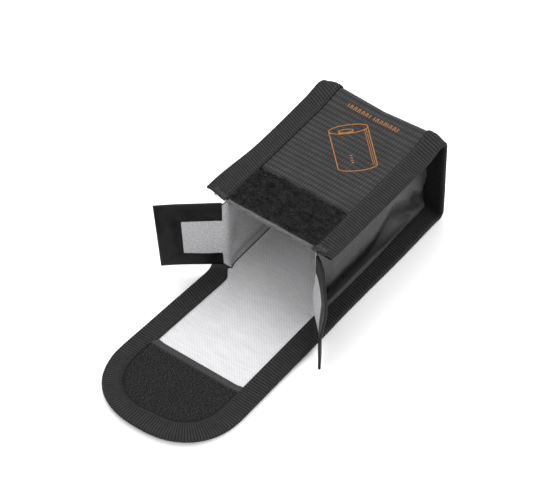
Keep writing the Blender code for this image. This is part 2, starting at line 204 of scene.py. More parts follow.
def soften(points):
    """Move points of the ideal bag to where real cloth lies; all layers move together."""
    x, y, z = points[..., 0], points[..., 1], points[..., 2]
    out = np.abs(x)
    right = ramp(-0.2 * HALF, 0.2 * HALF, x)
    fin = ramp(TAPE_EDGE - 2.0, HALF, out)
    top = ramp(DEPTH * 0.5, DEPTH, z)
    low = 1.0 - ramp(0.0, DEPTH * 0.4, z)
    rear = ramp(END_Y - 16.0, END_Y, y)
    body = ramp(MOUTH_Y - 1.0, MOUTH_Y + 6.0, y)
    # The closed end stands up, most at its sides, and its corners are pulled in
    side = np.clip(out / TAPE_EDGE, 0.0, 1.0)
    corner = ramp(END_Y - 7.0, END_Y, y) * ramp(TAPE_EDGE + 3.0, HALF, out)
    dz = rear * top * (1.4 + side * (0.7 + 1.2 * right))
    dy = rear * top * (0.7 + side * 0.4)
    dz = dz - corner * top * (1.4 + 0.3 * right)
    dy = dy - corner * (0.8 * top + 0.4 * low)
    dx = corner * (0.6 - 0.1 * right)
    # The fins wave along their length, and the left one bends up and out at the mouth
    mouth = fin * top * (1.0 - right) * (1.0 - ramp(MOUTH_Y, MOUTH_Y + 34.0, y))
    dz = dz + fin * top * body * 0.25 * np.sin(y / 9.0 + 1.3 * np.sign(x))
    dx = dx + fin * body * 0.2 * np.sin(y / 13.0 + 0.7)
    dz = dz + mouth * 1.1
    dx = dx - mouth * 1.2
    # The front panel bulges a little
    middle = 1.0 - ramp(0.0, TAPE_EDGE, out)
    dz = dz + middle * top * body * (1.0 - rear) * 0.4
    # The flap's left edge lies further in near the bag, and its tip lifts off the floor
    narrow = ramp(MOUTH_Y + 6.0, MOUTH_Y - 6.0, y)
    narrow = narrow * np.clip((y - TIP_Y - 26.0) / 60.0, 0.0, 1.0)
    narrow = narrow * (1.0 - ramp(3.0, 9.0, z))
    dx = dx + 3.4 * narrow * ramp(-8.0, -TAPE_EDGE, x)
    dz = dz + ramp(TIP_Y + 26.0, TIP_Y, y) * 1.4
    return np.stack([x + dx, y + dy, z + dz], -1)


def dress(thing, rides, slot, *nodes, **soft):
    """rides is a body's name, or a function that is called on the piece instead.
    A sheet's flat size and area are given here in millimetres; they are not used.
    """
    if callable(rides):
        rides(thing)
    else:
        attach(thing, rides)
    if nodes:
        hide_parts(*nodes)
    if soft:
        width, length = soft.pop("flat")
        if "area" in soft:
            soft["area"] *= MM ** 2


def bend_between(thing, start, end):
    """Bake the piece's transform into its mesh; the (x, y) places start and end are not used."""
    start, end = ((x * MM, y * MM, 0.0) for x, y in (start, end))
    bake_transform(thing)
    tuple(start)
    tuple(end)


# ---------------------------------------------------------------- mesh building

def mesh_object(name, vertices, faces, uvs, look, smooth=True):
    """Make an object from vertices, faces and one texture place for each face corner."""
    mesh = bpy.data.meshes.new(name)
    mesh.from_pydata((np.asarray(vertices, float) * MM).tolist(), [], faces)
    if uvs is not None:
        layer = mesh.uv_layers.new(name="cloth")
        layer.data.foreach_set("uv", np.asarray(uvs, np.float32).ravel())
    if smooth:
        mesh.shade_smooth()
        mesh.set_sharp_from_angle(angle=SHARP)
    mesh.materials.append(material(look))
    thing = bpy.data.objects.new(name, mesh)
    bpy.context.scene.collection.objects.link(thing)
    return thing


def face_outwards(thing):
    """Turn a closed mesh's faces to look outwards."""
    bm = bmesh.new()
    bm.from_mesh(thing.data)
    bmesh.ops.recalc_face_normals(bm, faces=bm.faces)
    bm.to_mesh(thing.data)
    bm.free()


def there_and_back(outer, inner):
    """Columns of a section: those of its outer side, then its inner side's backwards."""
    return np.concatenate([outer, inner[:, ::-1]], axis=1)


def closed_sweep(name, points, across, along, look):
    """Close a swept section: points is (rows, columns, 3), and the columns wrap round.

    across and along give the texture place for each column and row.
    """
    rows, columns, _ = points.shape
    index = np.arange(rows * columns).reshape(rows, columns)
    index = np.concatenate([index, index[:, :1]], axis=1)
    quads = np.stack([index[:-1, :-1], index[:-1, 1:], index[1:, 1:], index[1:, :-1]], -1)
    u = np.broadcast_to(np.concatenate([across, across[:1]]), (rows, columns + 1))
    v = np.broadcast_to(np.asarray(along)[:, None], (rows, columns + 1))
    uv = np.stack([u, v], -1)
    corners = np.stack([uv[:-1, :-1], uv[:-1, 1:], uv[1:, 1:], uv[1:, :-1]], -2)
    faces = quads.reshape(-1, 4).tolist()
    faces += [index[0, :-1][::-1].tolist(), index[-1, :-1].tolist()]
    caps = np.concatenate([uv[0, :-1][::-1], uv[-1, :-1]])
    uvs = np.concatenate([corners.reshape(-1, 2), caps])
    thing = mesh_object(name, points.reshape(-1, 3), faces, uvs, look)
    face_outwards(thing)
    return thing


def tubes(paths, radii, sides):
    """Many thin tubes at once: paths is (count, points, 3), radii (count, points)."""
    paths = np.asarray(paths, float)
    count, length, _ = paths.shape
    along = np.gradient(paths, axis=1)
    along /= np.linalg.norm(along, axis=-1, keepdims=True) + 1e-12
    helper = np.where(np.abs(along[..., 2:3]) < 0.9, [0.0, 0.0, 1.0], [1.0, 0.0, 0.0])
    first = np.cross(along, helper)
    first /= np.linalg.norm(first, axis=-1, keepdims=True) + 1e-12
    second = np.cross(along, first)
    angle = np.arange(sides) * 2.0 * math.pi / sides
    ring = first[:, :, None] * np.cos(angle)[:, None] + second[:, :, None] * np.sin(angle)[:, None]
    vertices = paths[:, :, None] + ring * np.asarray(radii)[..., None, None]
    index = np.arange(count * length * sides).reshape(count, length, sides)
    after = np.roll(index, -1, axis=2)
    quads = np.stack([index[:, :-1], after[:, :-1], after[:, 1:], index[:, 1:]], -1)
    faces = quads.reshape(-1, 4).tolist()
    faces += index[:, 0, ::-1].reshape(-1, sides).tolist()
    faces += index[:, -1].reshape(-1, sides).tolist()
    return vertices.reshape(-1, 3), faces


def tube_object(name, paths, radii, sides, look):
    """One object of many thin tubes."""
    vertices, faces = tubes(paths, radii, sides)
    return mesh_object(name, vertices, faces, None, look)


# ---------------------------------------------------------------- sections

def spread(first, last, step):
    """Evenly spaced values from first to last, about step apart."""
    count = max(2, int(round(abs(last - first) / step)) + 1)
    return np.linspace(first, last, count)


def tape_section(face, back, thickness=BINDING, wall=TAPE, step=1.0):
    """Closed section of a folded tape: (distance in from the edge, depth) and ribbing.

    The ribbing is the outward direction of each point, or zero inside the fold.
    """
    radius = thickness / 2.0
    reach = 0.6 * radius
    points, ribs = [], []
    for w in spread(face, reach, step):
        pressed = float(ramp(face - SELVAGE, face, w))
        seam = 0.10 * bell((w - face + 1.5) / 0.4)
        points.append((w, PRESS * pressed + seam))
        ribs.append((0.0, -1.0 + 0.75 * pressed))
    for angle in np.linspace(0.0, math.pi, 9)[1:-1]:
        points.append((reach * (1.0 - math.sin(angle)), radius * (1.0 - math.cos(angle))))
        ribs.append((-math.sin(angle), -math.cos(angle)))
    for w in spread(reach, back, step):
        pressed = float(ramp(back - SELVAGE, back, w))
        points.append((w, thickness - PRESS * pressed))
        ribs.append((0.0, 1.0 - 0.75 * pressed))
    inner = [(back, thickness - wall - 0.1), (reach, thickness - wall)]
    inner += [(wall * 0.9, radius), (reach, wall), (face, wall + 0.1)]
    points += inner
    ribs += [(0.0, 0.0)] * len(inner)
    points = np.array(points)
    steps = np.linalg.norm(np.diff(points, axis=0, prepend=points[:1]), axis=1)
    return points, np.array(ribs), np.cumsum(steps)


def on_route(route, where):
    """Edge places, inward directions and normals of a route at any arc lengths."""
    along, *fields = route
    placed = []
    for field in fields:
        placed.append(np.stack([np.interp(where, along, column) for column in field.T], -1))
    return placed


def sweep_tape(name, route, rows, section, skew=0.0, back_share=1.0, ridge=0.0, pinch=0.0):
    """A folded tape with cross ribs along a route of edges, inward directions and normals.

    Each value may differ from row to row: skew leans the ribs, back_share widens the
    second face of the tape, ridge raises that face's inner border and pinch thins the fold.
    """
    points, ribs, across = section
    values = (skew, back_share, ridge, pinch)
    values = (np.broadcast_to(np.asarray(value, float), rows.shape) for value in values)
    skew, share, ridge, pinch = (value[:, None] for value in values)
    rib = RIB_HEIGHT * np.cos(2.0 * math.pi * rows / RIB_PITCH)[:, None]
    thickness = points[:, 1].max()
    behind = points[:, 1] > thickness * 0.55
    w = points[None, :, 0] * np.where(behind[None, :], share, 1.0)
    unfolded = -w * np.cos(math.pi * points[None, :, 1] / thickness)
    edges, inward, normals = on_route(route, rows[:, None] - skew * unfolded)
    border = bell((points[:, 0] - TAPE_FACE + 1.9) / 0.9) * behind
    w = w + ribs[None, :, 0] * rib
    d = points[None, :, 1] * (1.0 - pinch) + ribs[None, :, 1] * rib + ridge * border[None, :]
    place = edges + inward * w[..., None] - normals * d[..., None]
    return closed_sweep(name, soften(place), across, rows, "tape")


def rib_rows(first, last):
    """Arc lengths with a few rows to each rib of the tape."""
    return spread(first, last, RIB_PITCH / ROWS_PER_RIB)


def plain_rows(first, last, step=3.0):
    """Arc lengths for a smooth sheet, close together where the strip folds."""
    folds = [spread(FRONT_RUN, FRONT_RUN + FOLD_RUN, 0.8)]
    folds.append(spread(BACK_START - FOLD_RUN, BACK_START, 0.8))
    base = spread(first, last, step)
    rows = np.concatenate([base] + folds)
    return np.unique(np.round(rows[(rows >= first) & (rows <= last)], 4))


def sheet_sweep(name, rows, half_width, level, look, columns, thickness=CLOTH,
                shift=None, face=None, back=None):
    """A sheet of cloth along the strip; half_width may be one value for each row.

    columns are shares of the half width.  shift(across, along) moves the whole sheet
    outwards, and face and back raise its outer and its inner side.
    """
    half = np.broadcast_to(np.asarray(half_width, float), rows.shape)
    edge, normal = strip_frames(rows)
    x_out = half[:, None] * columns[None, :]
    s = np.broadcast_to(rows[:, None], x_out.shape)
    middle = level - (0.0 if shift is None else shift(x_out, s)) + 0.0 * x_out
    depth_out = middle - (0.0 if face is None else face(x_out, s))
    depth_in = middle + thickness + (0.0 if back is None else back(x_out, s))
    x = there_and_back(x_out, x_out)
    depth = there_and_back(depth_out, depth_in)
    place = edge[:, None] - normal[:, None] * depth[..., None]
    place = place + np.array([1.0, 0.0, 0.0]) * x[..., None]
    across = np.concatenate([columns, columns[::-1]]) * float(half.max())
    return closed_sweep(name, soften(place), across, rows, look)


def weave(x, s):
    """Height of the coated weave: rows of short raised floats that lie along the strip."""
    row = 0.5 + 0.5 * np.cos(2.0 * math.pi * s / WEAVE_ALONG)
    float_across = 0.5 + 0.5 * np.cos(2.0 * math.pi * x / WEAVE_ACROSS)
    return WEAVE_HEIGHT * row ** 0.6 * (0.3 + 0.7 * float_across)


# ---------------------------------------------------------------- materials

class Look:
    """A Principled material with short helpers for its procedural nodes."""

    def __init__(self, name, roughness, sheen=0.0, specular=0.5):
        self.made = bpy.data.materials.new(name)
        self.made.use_nodes = True
        self.nodes = self.made.node_tree.nodes
        self.links = self.made.node_tree.links
        self.shader = self.nodes["Principled BSDF"]
        settings = {"Roughness": roughness, "Specular IOR Level": specular, "Sheen Weight": sheen}
        for setting, value in settings.items():
            self.shader.inputs[setting].default_value = value

    def _feed(self, socket, value):
        """Give an input socket a number, a colour or another node's output."""
        if isinstance(value, bpy.types.NodeSocket):
            self.links.new(value, socket)
        else:
            socket.default_value = value

    def math(self, operation, a, b=0.0, c=0.0):
        """One math node."""
        node = self.nodes.new("ShaderNodeMath")
        node.operation = operation
        for socket, value in zip(node.inputs, (a, b, c)):
            self._feed(socket, value)
        return node.outputs[0]

    def times(self, a, b):
        """Product of two values."""
        return self.math("MULTIPLY", a, b)

    def plus(self, a, b):
        """Sum of two values."""
        return self.math("ADD", a, b)

    def uv(self):
        """A place on the cloth, and its parts across and along, in millimetres."""
        node = self.nodes.new("ShaderNodeUVMap")
        node.uv_map = "cloth"
        split = self.nodes.new("ShaderNodeSeparateXYZ")
        self.links.new(node.outputs[0], split.inputs[0])
        return node.outputs[0], split.outputs[0], split.outputs[1]

    def wave(self, place, pitch, phase=0.0):
        """A cosine from 0 to 1 with the given pitch in millimetres."""
        turned = self.math("MULTIPLY_ADD", place, 2.0 * math.pi / pitch, phase)
        return self.math("MULTIPLY_ADD", self.math("COSINE", turned), 0.5, 0.5)

    def noise(self, vector, scale, detail=3.0, stretch=None):
        """Noise from about 0 to 1."""
        node = self.nodes.new("ShaderNodeTexNoise")
        node.inputs["Scale"].default_value = scale
        node.inputs["Detail"].default_value = detail
        if stretch is not None:
            mapping = self.nodes.new("ShaderNodeMapping")
            mapping.inputs["Scale"].default_value = stretch
            self.links.new(vector, mapping.inputs["Vector"])
            vector = mapping.outputs[0]
        self.links.new(vector, node.inputs["Vector"])
        return node.outputs[0]

    def level(self, value, low, high, out_low=0.0, out_high=1.0):
        """Stretch a range of values to another range."""
        node = self.nodes.new("ShaderNodeMapRange")
        for socket, number in zip(node.inputs, (value, low, high, out_low, out_high)):
            self._feed(socket, number)
        return node.outputs[0]

    def span(self, value, low, high):
        """Stretch a value between 0 and 1 to lie between low and high."""
        return self.level(value, 0.0, 1.0, low, high)

    def grain(self, noise, low=0.0, high=1.0):
        """Stretch noise, which is mostly between 0.3 and 0.7, to fill low to high."""
        return self.level(noise, 0.3, 0.7, low, high)

    def tint(self):
        """A random value from 0 to 1 for each separate fibre."""
        return self.nodes.new("ShaderNodeNewGeometry").outputs["Random Per Island"]

    def colour(self, factor, low, high):
        """Mix two greys or colours."""
        node = self.nodes.new("ShaderNodeMix")
        node.data_type = "RGBA"
        self._feed(node.inputs[0], factor)
        self._feed(node.inputs[6], shade(low))
        self._feed(node.inputs[7], shade(high))
        return node.outputs[2]

    def finish(self, colour, height=None, distance=0.1, roughness=None):
        """Connect the colour, a bump height in millimetres and the roughness."""
        self._feed(self.shader.inputs["Base Color"], colour)
        if roughness is not None:
            self._feed(self.shader.inputs["Roughness"], roughness)
        if height is not None:
            bump = self.nodes.new("ShaderNodeBump")
            bump.inputs["Strength"].default_value = 1.0
            bump.inputs["Distance"].default_value = distance * MM
            self._feed(bump.inputs["Height"], height)
            self.links.new(bump.outputs[0], self.shader.inputs["Normal"])
        return self.made


def shade(value):
    """A grey number or an RGB triple as a colour."""
    if isinstance(value, (int, float)):
        return (value, value, value * 1.02, 1.0)
    return (*value, 1.0)


def tape_look():
    """Grosgrain: cross ribs with fine lengthwise yarns."""
    look = Look("grosgrain_tape", 0.8, specular=0.05)
    place, u, v = look.uv()
    # Rib crests are painted lighter than the valleys between them: painted light and shade of the
    # ribs.
    rib = look.span(look.wave(v, RIB_PITCH), 0.25, 1.0)
    yarn = look.wave(u, 0.46)
    patchy = look.noise(place, 0.35)
    fine = look.noise(place, 3.0)
    tone = look.times(rib, look.grain(fine, 0.55, 1.0))
    tone = look.times(tone, look.grain(patchy, 0.75, 1.0))
    # The tape's inner face round the closed end is painted darker: painted shade, down to a quarter
    # of the tone.
    inner = look.level(u, TAPE_FACE + 1.0, TAPE_FACE + 2.0)
    past_front = look.level(v, FRONT_RUN - 4.0, FRONT_RUN + 4.0)
    before_back = look.level(v, BACK_START - 4.0, BACK_START + 4.0, 1.0, 0.0)
    closed = look.times(past_front, before_back)
    end_fin_painted_shade = look.span(look.times(inner, closed), 1.0, 0.25)
    tone = look.times(tone, end_fin_painted_shade)
    height = look.times(yarn, rib)
    height = look.plus(height, look.times(fine, 0.8))
    return look.finish(look.colour(tone, 0.003, 0.046), height, 0.08)


def tab_tape_look():
    """Smooth binding tape with fine lines along its run."""
    look = Look("smooth_tape", 0.42, specular=0.12)
    place, u, _ = look.uv()
    line = look.wave(u, 0.55)
    wear = look.noise(place, 0.25, 4.0, (1.0, 0.25, 1.0))
    fine = look.noise(place, 2.5, 2.0, (1.0, 0.3, 1.0))
    tone = look.times(look.level(line, 0.2, 1.0), look.level(wear, 0.35, 0.7))
    height = look.plus(look.times(line, 0.7), fine)
    rough = look.grain(wear, 0.3, 0.55)
    return look.finish(look.colour(tone, 0.001, 0.02), height, 0.05, rough)


def shell_look():
    """Coated glass-fibre cloth with ribs across the bag."""
    look = Look("coated_cloth", 0.5, specular=0.08)
    place, u, v = look.uv()
    row = look.math("POWER", look.wave(v, WEAVE_ALONG), 0.6)
    cell = look.wave(u, WEAVE_ACROSS)
    patchy = look.noise(place, 0.12, 3.0)
    fine = look.noise(place, 1.6, 3.0)
    # Raised floats are painted lighter and the gaps between rows darker: painted light and shade of
    # the weave.
    tone = look.times(look.span(row, 0.3, 1.0), look.span(cell, 0.5, 1.0))
    tone = look.times(tone, look.grain(fine, 0.35, 1.2))
    tone = look.times(tone, look.grain(patchy, 0.75, 1.1))
    height = look.plus(look.times(cell, row), fine)
    rough = look.grain(fine, 0.36, 0.6)
    return look.finish(look.colour(tone, 0.007, 0.05), height, 0.06, rough)


def wall_look():
    """Coating of a gusset's wall, with a band of painted shade along its lower fold and a painted
    highlight below it.
    """
    return coated_look("wall_coating", 0.15, shade_band=True)


def gusset_look():
    """Coating of a side tab."""
    return coated_look("gusset_coating", 0.3)


def coated_look(name, specular, shade_band=False):
    """Smooth black coating with fine crumples."""
    look = Look(name, 0.3, specular=specular)
    place, u, v = look.uv()
    crumple = look.noise(place, 0.22, 5.0)
    fine = look.noise(place, 2.2, 3.0)
    weave_across = look.wave(u, 0.9)
    weave_along = look.wave(v, 0.9)
    height = look.math("MULTIPLY_ADD", crumple, 3.0, look.times(fine, 0.6))
    height = look.math("MULTIPLY_ADD", look.times(weave_across, weave_along), 0.3, height)
    rough = look.grain(crumple, 0.24, 0.4)
    tone, bright = look.grain(fine), 0.009
    # On the wall the colour holds painted light and shade: a dark band of painted shade under the
    # band's top, a painted highlight strip below it beside the lower fin, a mid tone above it, and
    # the band lightens towards the closed end.
    if shade_band:
        shade_band_low = SHADE_BAND_TOP - SHADE_BAND_HEIGHT
        above = look.level(u, SHADE_BAND_TOP - 1.0, SHADE_BAND_TOP + 9.0, 0.05, 0.6)
        below = look.level(u, shade_band_low - 1.8, shade_band_low, 1.0, 0.0)
        past = look.level(v, 2.0, 16.0, 0.0, 0.5)
        painted_shade_tone = look.math("MAXIMUM", look.math("MAXIMUM", above, below), past)
        tone = look.times(look.grain(fine, 0.7, 1.0), painted_shade_tone)
        bright = 0.06
    return look.finish(look.colour(tone, 0.002, bright), height, 0.12, rough)


def lining_look():
    """White glass-fibre lining with fine threads and a few faint streaks."""
    look = Look("white_cloth", 0.82, sheen=0.05, specular=0.3)
    place, u, v = look.uv()
    slanted = look.math("MULTIPLY_ADD", u, 0.81, look.times(v, -0.59))
    thread = look.wave(slanted, 0.7)
    weft = look.wave(v, 0.7)
    streak = look.noise(place, 0.5, 2.0, (0.25, 1.6, 1.0))
    fine = look.noise(place, 1.6, 2.0)
    weaving = look.math("MULTIPLY_ADD", thread, 0.8, look.times(weft, 0.2))
    tone = look.span(weaving, 0.6, 1.0)
    tone = look.times(tone, look.level(fine, 0.2, 0.8, 0.8, 1.0))
    tone = look.times(tone, look.level(streak, 0.35, 0.6, 0.9, 1.0))
    height = look.plus(weaving, fine)
    return look.finish(look.colour(tone, 0.12, 0.70), height, 0.08)


def shaded_lining_look():
    """White lining of the side walls and tabs, painted darker than the flap's lining as shade
    inside the bag.
    """
    look = Look("grey_lining", 0.8, specular=0.2)
    place, u, _ = look.uv()
    fine = look.noise(place, 1.3, 4.0)
    thread = look.wave(u, 0.7)
    tone = look.level(fine, 0.35, 0.65, 0.6, 1.0)
    tone = look.times(tone, look.span(thread, 0.8, 1.0))
    height = look.math("MULTIPLY_ADD", thread, 0.4, fine)
    # Tones lower than the white lining's: painted shade.
    return look.finish(look.colour(tone, 0.06, 0.43), height, 0.1)


def loop_look():
    """Soft black pile with darker tangles."""
    look = Look("loop_pile", 0.9, specular=0.06)
    place = look.nodes.new("ShaderNodeTexCoord").outputs["Generated"]
    tangle = look.level(look.noise(place, 11.0), 0.36, 0.6, 0.1, 1.0)
    return look.finish(look.colour(look.times(look.tint(), tangle), 0.003, 0.08))


def hook_look():
    """Charcoal hook tape."""
    look = Look("hook_tape", 0.7, specular=0.08)
    return look.finish(look.colour(look.tint(), 0.04, 0.085))


def hook_base_look():
    """Woven ground of the hook and loop tapes."""
    look = Look("hook_ground", 0.85, specular=0.02)
    place, _, v = look.uv()
    fine = look.noise(place, 1.5, 4.0)
    weft = look.wave(v, 0.55)
    height = look.plus(fine, look.times(weft, 0.5))
    edge = along_at(PATCH_Y) + PATCH_BORDER
    # Past the smooth border the ground is painted darker: painted shade in the groove and among the
    # hooks.
    smooth = look.level(v, edge - 0.5, edge, 1.0, 0.25)
    tone = look.times(look.grain(fine, 0.5, 1.0), smooth)
    return look.finish(look.colour(tone, 0.005, 0.055), height, 0.08)


def hem_look():
    """Smooth grey edge cloth over the mouth's front edge."""
    look = Look("hem_cloth", 0.5, specular=0.5)
    place = look.uv()[0]
    fine = look.noise(place, 1.2, 4.0, (1.0, 0.3, 1.0))
    return look.finish(look.colour(look.grain(fine), 0.025, 0.09), fine, 0.08)


def thread_look():
    """Black sewing thread."""
    look = Look("black_thread", 0.6, sheen=0.1, specular=0.3)
    return look.finish(look.colour(look.tint(), 0.006, 0.03))


def print_look():
    """Orange screen print that lets a little of the weave show."""
    look = Look("orange_print", 0.6, specular=0.3)
    place, _, v = look.uv()
    row = look.wave(v, WEAVE_ALONG)
    fine = look.noise(place, 2.0, 3.0)
    tone = look.times(look.span(row, 0.7, 1.0), look.grain(fine, 0.6, 1.0))
    return look.finish(look.colour(tone, (0.07, 0.026, 0.005), (0.33, 0.125, 0.018)), fine, 0.04)


LOOKS = {
    "tape": tape_look,
    "tab_tape": tab_tape_look,
    "shell": shell_look,
    "gusset": gusset_look,
    "wall": wall_look,
    "lining": lining_look,
    "inside": shaded_lining_look,
    "loop": loop_look,
    "hook": hook_look,
    "hook_base": hook_base_look,
    "hem": hem_look,
    "thread": thread_look,
    "print": print_look,
}


@functools.cache
def material(kind):
    """The look of a kind of cloth, made the first time that it is asked for."""
    return LOOKS[kind]()


# ---------------------------------------------------------------- fixed cloth

SAG_START = BACK_START + 1.0
SAG_FULL = BACK_START + 9.0


def sag(x, s):
    """How far the underside's cloth sinks between its bindings."""
    across = 1.0 - ramp(TAPE_EDGE - 3.6, TAPE_EDGE - 0.2, np.abs(x))
    return SHELL_LEVEL * ramp(SAG_START, SAG_FULL, s) * across


def columns_for(step, half):
    """Shares of the half width from -1 to 1, no more than step apart."""
    count = int(math.ceil(2.0 * half / step))
    return np.linspace(-1.0, 1.0, count + 1)


def body_shell():
    """Front, closed end and back: one strip of coated cloth."""
    front = spread(CLOTH_START, FRONT_RUN, WEAVE_ALONG / 6.0)
    rest = plain_rows(FRONT_RUN + 0.3, SPLIT_BACK, 1.0)
    rows = np.concatenate([front, rest])
    columns = columns_for(WEAVE_ACROSS / 4.0, CLOTH_EDGE)
    thing = sheet_sweep("body_shell", rows, CLOTH_EDGE, SHELL_LEVEL, "shell", columns,
                        shift=sag, face=weave)
    dress(thing, "bag", "coated_shell_cloth",
          "front_panel_shell", "end_panel_shell", "back_panel_shell",
          flat=(2.0 * CLOTH_EDGE, SPLIT_BACK - CLOTH_START), held="stretched",
          rests_on=["left_gusset_cloth", "right_gusset_cloth"])


def body_lining():
    """White lining of the front, the closed end and the back."""
    rows = plain_rows(CLOTH_START, SPLIT_BACK, 1.5)
    columns = columns_for(1.2, PANEL_LINING_X)
    thing = sheet_sweep("body_lining", rows, PANEL_LINING_X, LINING_LEVEL, "lining", columns,
                        shift=sag)
    dress(thing, "bag", "white_lining",
          "front_panel_lining", "end_panel_lining", "back_panel_lining",
          flat=(2.0 * PANEL_LINING_X, SPLIT_BACK - CLOTH_START), held="stretched",
          rests_on=["body_shell"])


GUSSET_STEP = 0.9
GUSSET_EDGE = 3.2                                # finer rows within this of an edge
GUSSET_TURN = 0.8                                # the edges turn out within this


def gusset_dent(side, y, z):
    """How far a gusset's wall is pushed in between its three bound edges."""
    run = y - GUSSET_MOUTH_Y
    behind = END_Y - 2.0 - y
    edge = ramp(1.6, 3.6, z) * (1.0 - ramp(DEPTH - 6.0, DEPTH - 1.0, z))
    free = ramp(0.0, 10.0, run)
    # A long fold: a crest over a trough, with a sharp crease above them near the mouth
    fold = 15.0 + 6.0 * bell((y - 13.0) / 9.0)
    crest = bell((z - fold - 7.0) / 6.0)
    trough = bell((z - fold + 5.5) / 5.0)
    crease = np.exp(-(np.abs(z - fold - 10.0) / 0.9)) * bell((run - 14.0) / 16.0)
    # Small folds fan out from the lower rear corner
    angle = np.arctan2(z, np.maximum(behind, 0.1))
    near = bell((np.hypot(behind, z) - 15.0) / 8.0)
    fan = np.cos(13.0 * angle - 1.0) * near * ramp(2.0, 8.0, z)
    # The wall leans out towards its foot and is tucked in towards the closed end
    slope = -0.04 * (DEPTH - z)
    tuck = 1.4 * ramp(30.0, 70.0, run)
    inward = slope + tuck - 1.2 * crest + 1.8 * trough + 0.4 * crease + 0.9 * fan
    return edge * free * inward + mouth_bulge(side, -2.6 - run, z)


def gusset_sheet(name, side, wall, reach, inset, look):
    """A gusset's wall, with three edges that turn out into the fins by reach."""
    low, high, rear = inset, DEPTH - inset, END_Y - inset
    edges = np.array([0.0, 0.08, 0.16, 0.26, 0.38, 0.52, 0.68, 0.85, 1.1, 1.6, 2.3])
    middle = spread(low + GUSSET_EDGE, high - GUSSET_EDGE, GUSSET_STEP)
    z = np.concatenate([low + edges, middle, (high - edges)[::-1]])
    front = spread(GUSSET_MOUTH_Y, rear - GUSSET_EDGE, GUSSET_STEP)
    y = np.concatenate([front, (rear - edges)[::-1]])
    yy, zz = np.meshgrid(y, z, indexing="ij")
    out_z = np.clip(1.0 - np.minimum(zz - low, high - zz) / GUSSET_TURN, 0.0, 1.0)
    out_y = np.clip(1.0 - (rear - yy) / GUSSET_TURN, 0.0, 1.0)
    out = np.maximum(out_z, out_y) ** 0.9
    outer = wall - gusset_dent(side, yy, zz) + out * reach
    layers = (np.stack([side * x, yy, zz], -1) for x in (outer, outer - CLOTH))
    points = soften(there_and_back(*layers))
    return closed_sweep(name, points, np.concatenate([z, z[::-1]]), y, look)


def gussets():
    """Coated side walls and their linings."""
    shape = {"flat": (END_Y - GUSSET_MOUTH_Y, DEPTH), "held": "stretched"}
    wall = WALL_X + CLOTH
    for side_name, side in SIDES.items():
        name = side_name + "_gusset_"
        thing = gusset_sheet(name + "cloth", side, wall, 4.0, LINING_LEVEL, "wall")
        dress(thing, "bag", "coated_gusset_cloth", name + "shell", rests_on=["body_shell"], **shape)
        inset = LINING_LEVEL + CLOTH * 0.6
        thing = gusset_sheet(name + "inside", side, wall - 2.0 * TAB_LAYER, 0.0, inset, "inside")
        dress(thing, "bag", "white_lining", name + "lining", rests_on=[name + "cloth"], **shape)


# ---------------------------------------------------------------- binding tapes

BODY_SECTION = tape_section(TAPE_FACE, TAPE_BACK)
WIDEN_START = along_at(GUSSET_MOUTH_Y + 0.5)
WIDEN_END = along_at(LIFT.y)


def side_route(side):
    """Edge places, inward directions and normals of a side fin, by arc length."""
    along = spread(-8.0, SPLIT_COVER + 8.0, 0.25)
    edge, normal = strip_frames(along)
    across = np.array([side, 0.0, 0.0])
    return along, edge + HALF * across, 0.0 * edge - across, normal


def widened(rows):
    """Inner face of the tape has its full width at the closed end and on the flap."""
    flap = ramp(WIDEN_START, WIDEN_END, rows)
    end = ramp(FRONT_RUN - 6.0, FRONT_RUN + 6.0, rows)
    end = end * (1.0 - ramp(BACK_START - 6.0, BACK_START + 4.0, rows))
    return 1.0 + (TAPE_FACE / TAPE_BACK - 1.0) * np.maximum(flap, end)


def fin(name, side_name, first, last):
    """One side's folded tape between two arc lengths."""
    rows = rib_rows(first, last)
    start, lean = TAPE_START[side_name], MOUTH_LEAN[side_name]
    skew = RIB_SKEW[side_name] * (lean + (1.0 - lean) * ramp(start, 10.0, rows))
    pinch = 0.5 * (1.0 - ramp(start, 7.0, rows))
    return sweep_tape(name, side_route(SIDES[side_name]), rows, BODY_SECTION, skew,
                      widened(rows), pinch=pinch)


def body_tapes():
    """Binding of the side fins, from the front's mouth round to the back."""
    for side_name in SIDES:
        thing = fin(side_name + "_body_tape", side_name, TAPE_START[side_name], SPLIT_BACK)
        nodes = [side_name + "_binding_" + where for where in ("front", "end", "back")]
        dress(thing, "bag", "binding_tape", *nodes,
              flat=(TAPE_FACE + TAPE_BACK + BINDING, SPLIT_BACK), held="folded",
              rests_on=["body_shell"])


# ---------------------------------------------------------------- front panel details

FRONT_FACE = DEPTH - SHELL_LEVEL
HEM_WIDTH = 10.2                                 # of the hem's cloth, laid flat
LOOP_HALF = LOOP_HIGH.x
LOOP_FIRST, LOOP_LAST = LOOP_LOW.y - 1.0, LOOP_HIGH.y
LOOP_COUNT = 9000


def front_point(x, y, lift=0.0):
    """A place on the front panel's ideal surface, raised by lift."""
    x, y = np.broadcast_arrays(np.asarray(x, float), np.asarray(y, float))
    return np.stack([x, y, 0.0 * x + FRONT_FACE + lift], -1)


def mouth_hem():
    """Edge cloth folded over the front panel's free edge."""
    half = HEM_HIGH.x
    points, _, across = tape_section(1.6, 6.0, HEM_HIGH.z - HEM_LOW.z, 0.3, 0.4)
    x = spread(-half, half, 1.0)
    ripple = 0.07 * np.sin(x / 4.1) + 0.04 * np.sin(x / 1.7 + 1.0)
    y = HEM_LOW.y + points[None, :, 0] + ripple[:, None]
    z = HEM_HIGH.z - points[None, :, 1] + 0.0 * y
    xx = np.broadcast_to(x[:, None], y.shape)
    thing = closed_sweep("mouth_hem_cloth", soften(np.stack([xx, y, z], -1)), across, x, "hem")
    dress(thing, "bag", "mouth_hem_cloth", "mouth_hem",
          flat=(2.0 * half, HEM_WIDTH), held="folded", rests_on=["body_shell"])


def loop_edge(x):
    """How far the loop tape strays from a straight line across the bag."""
    return 0.35 * np.sin(x / 2.3)


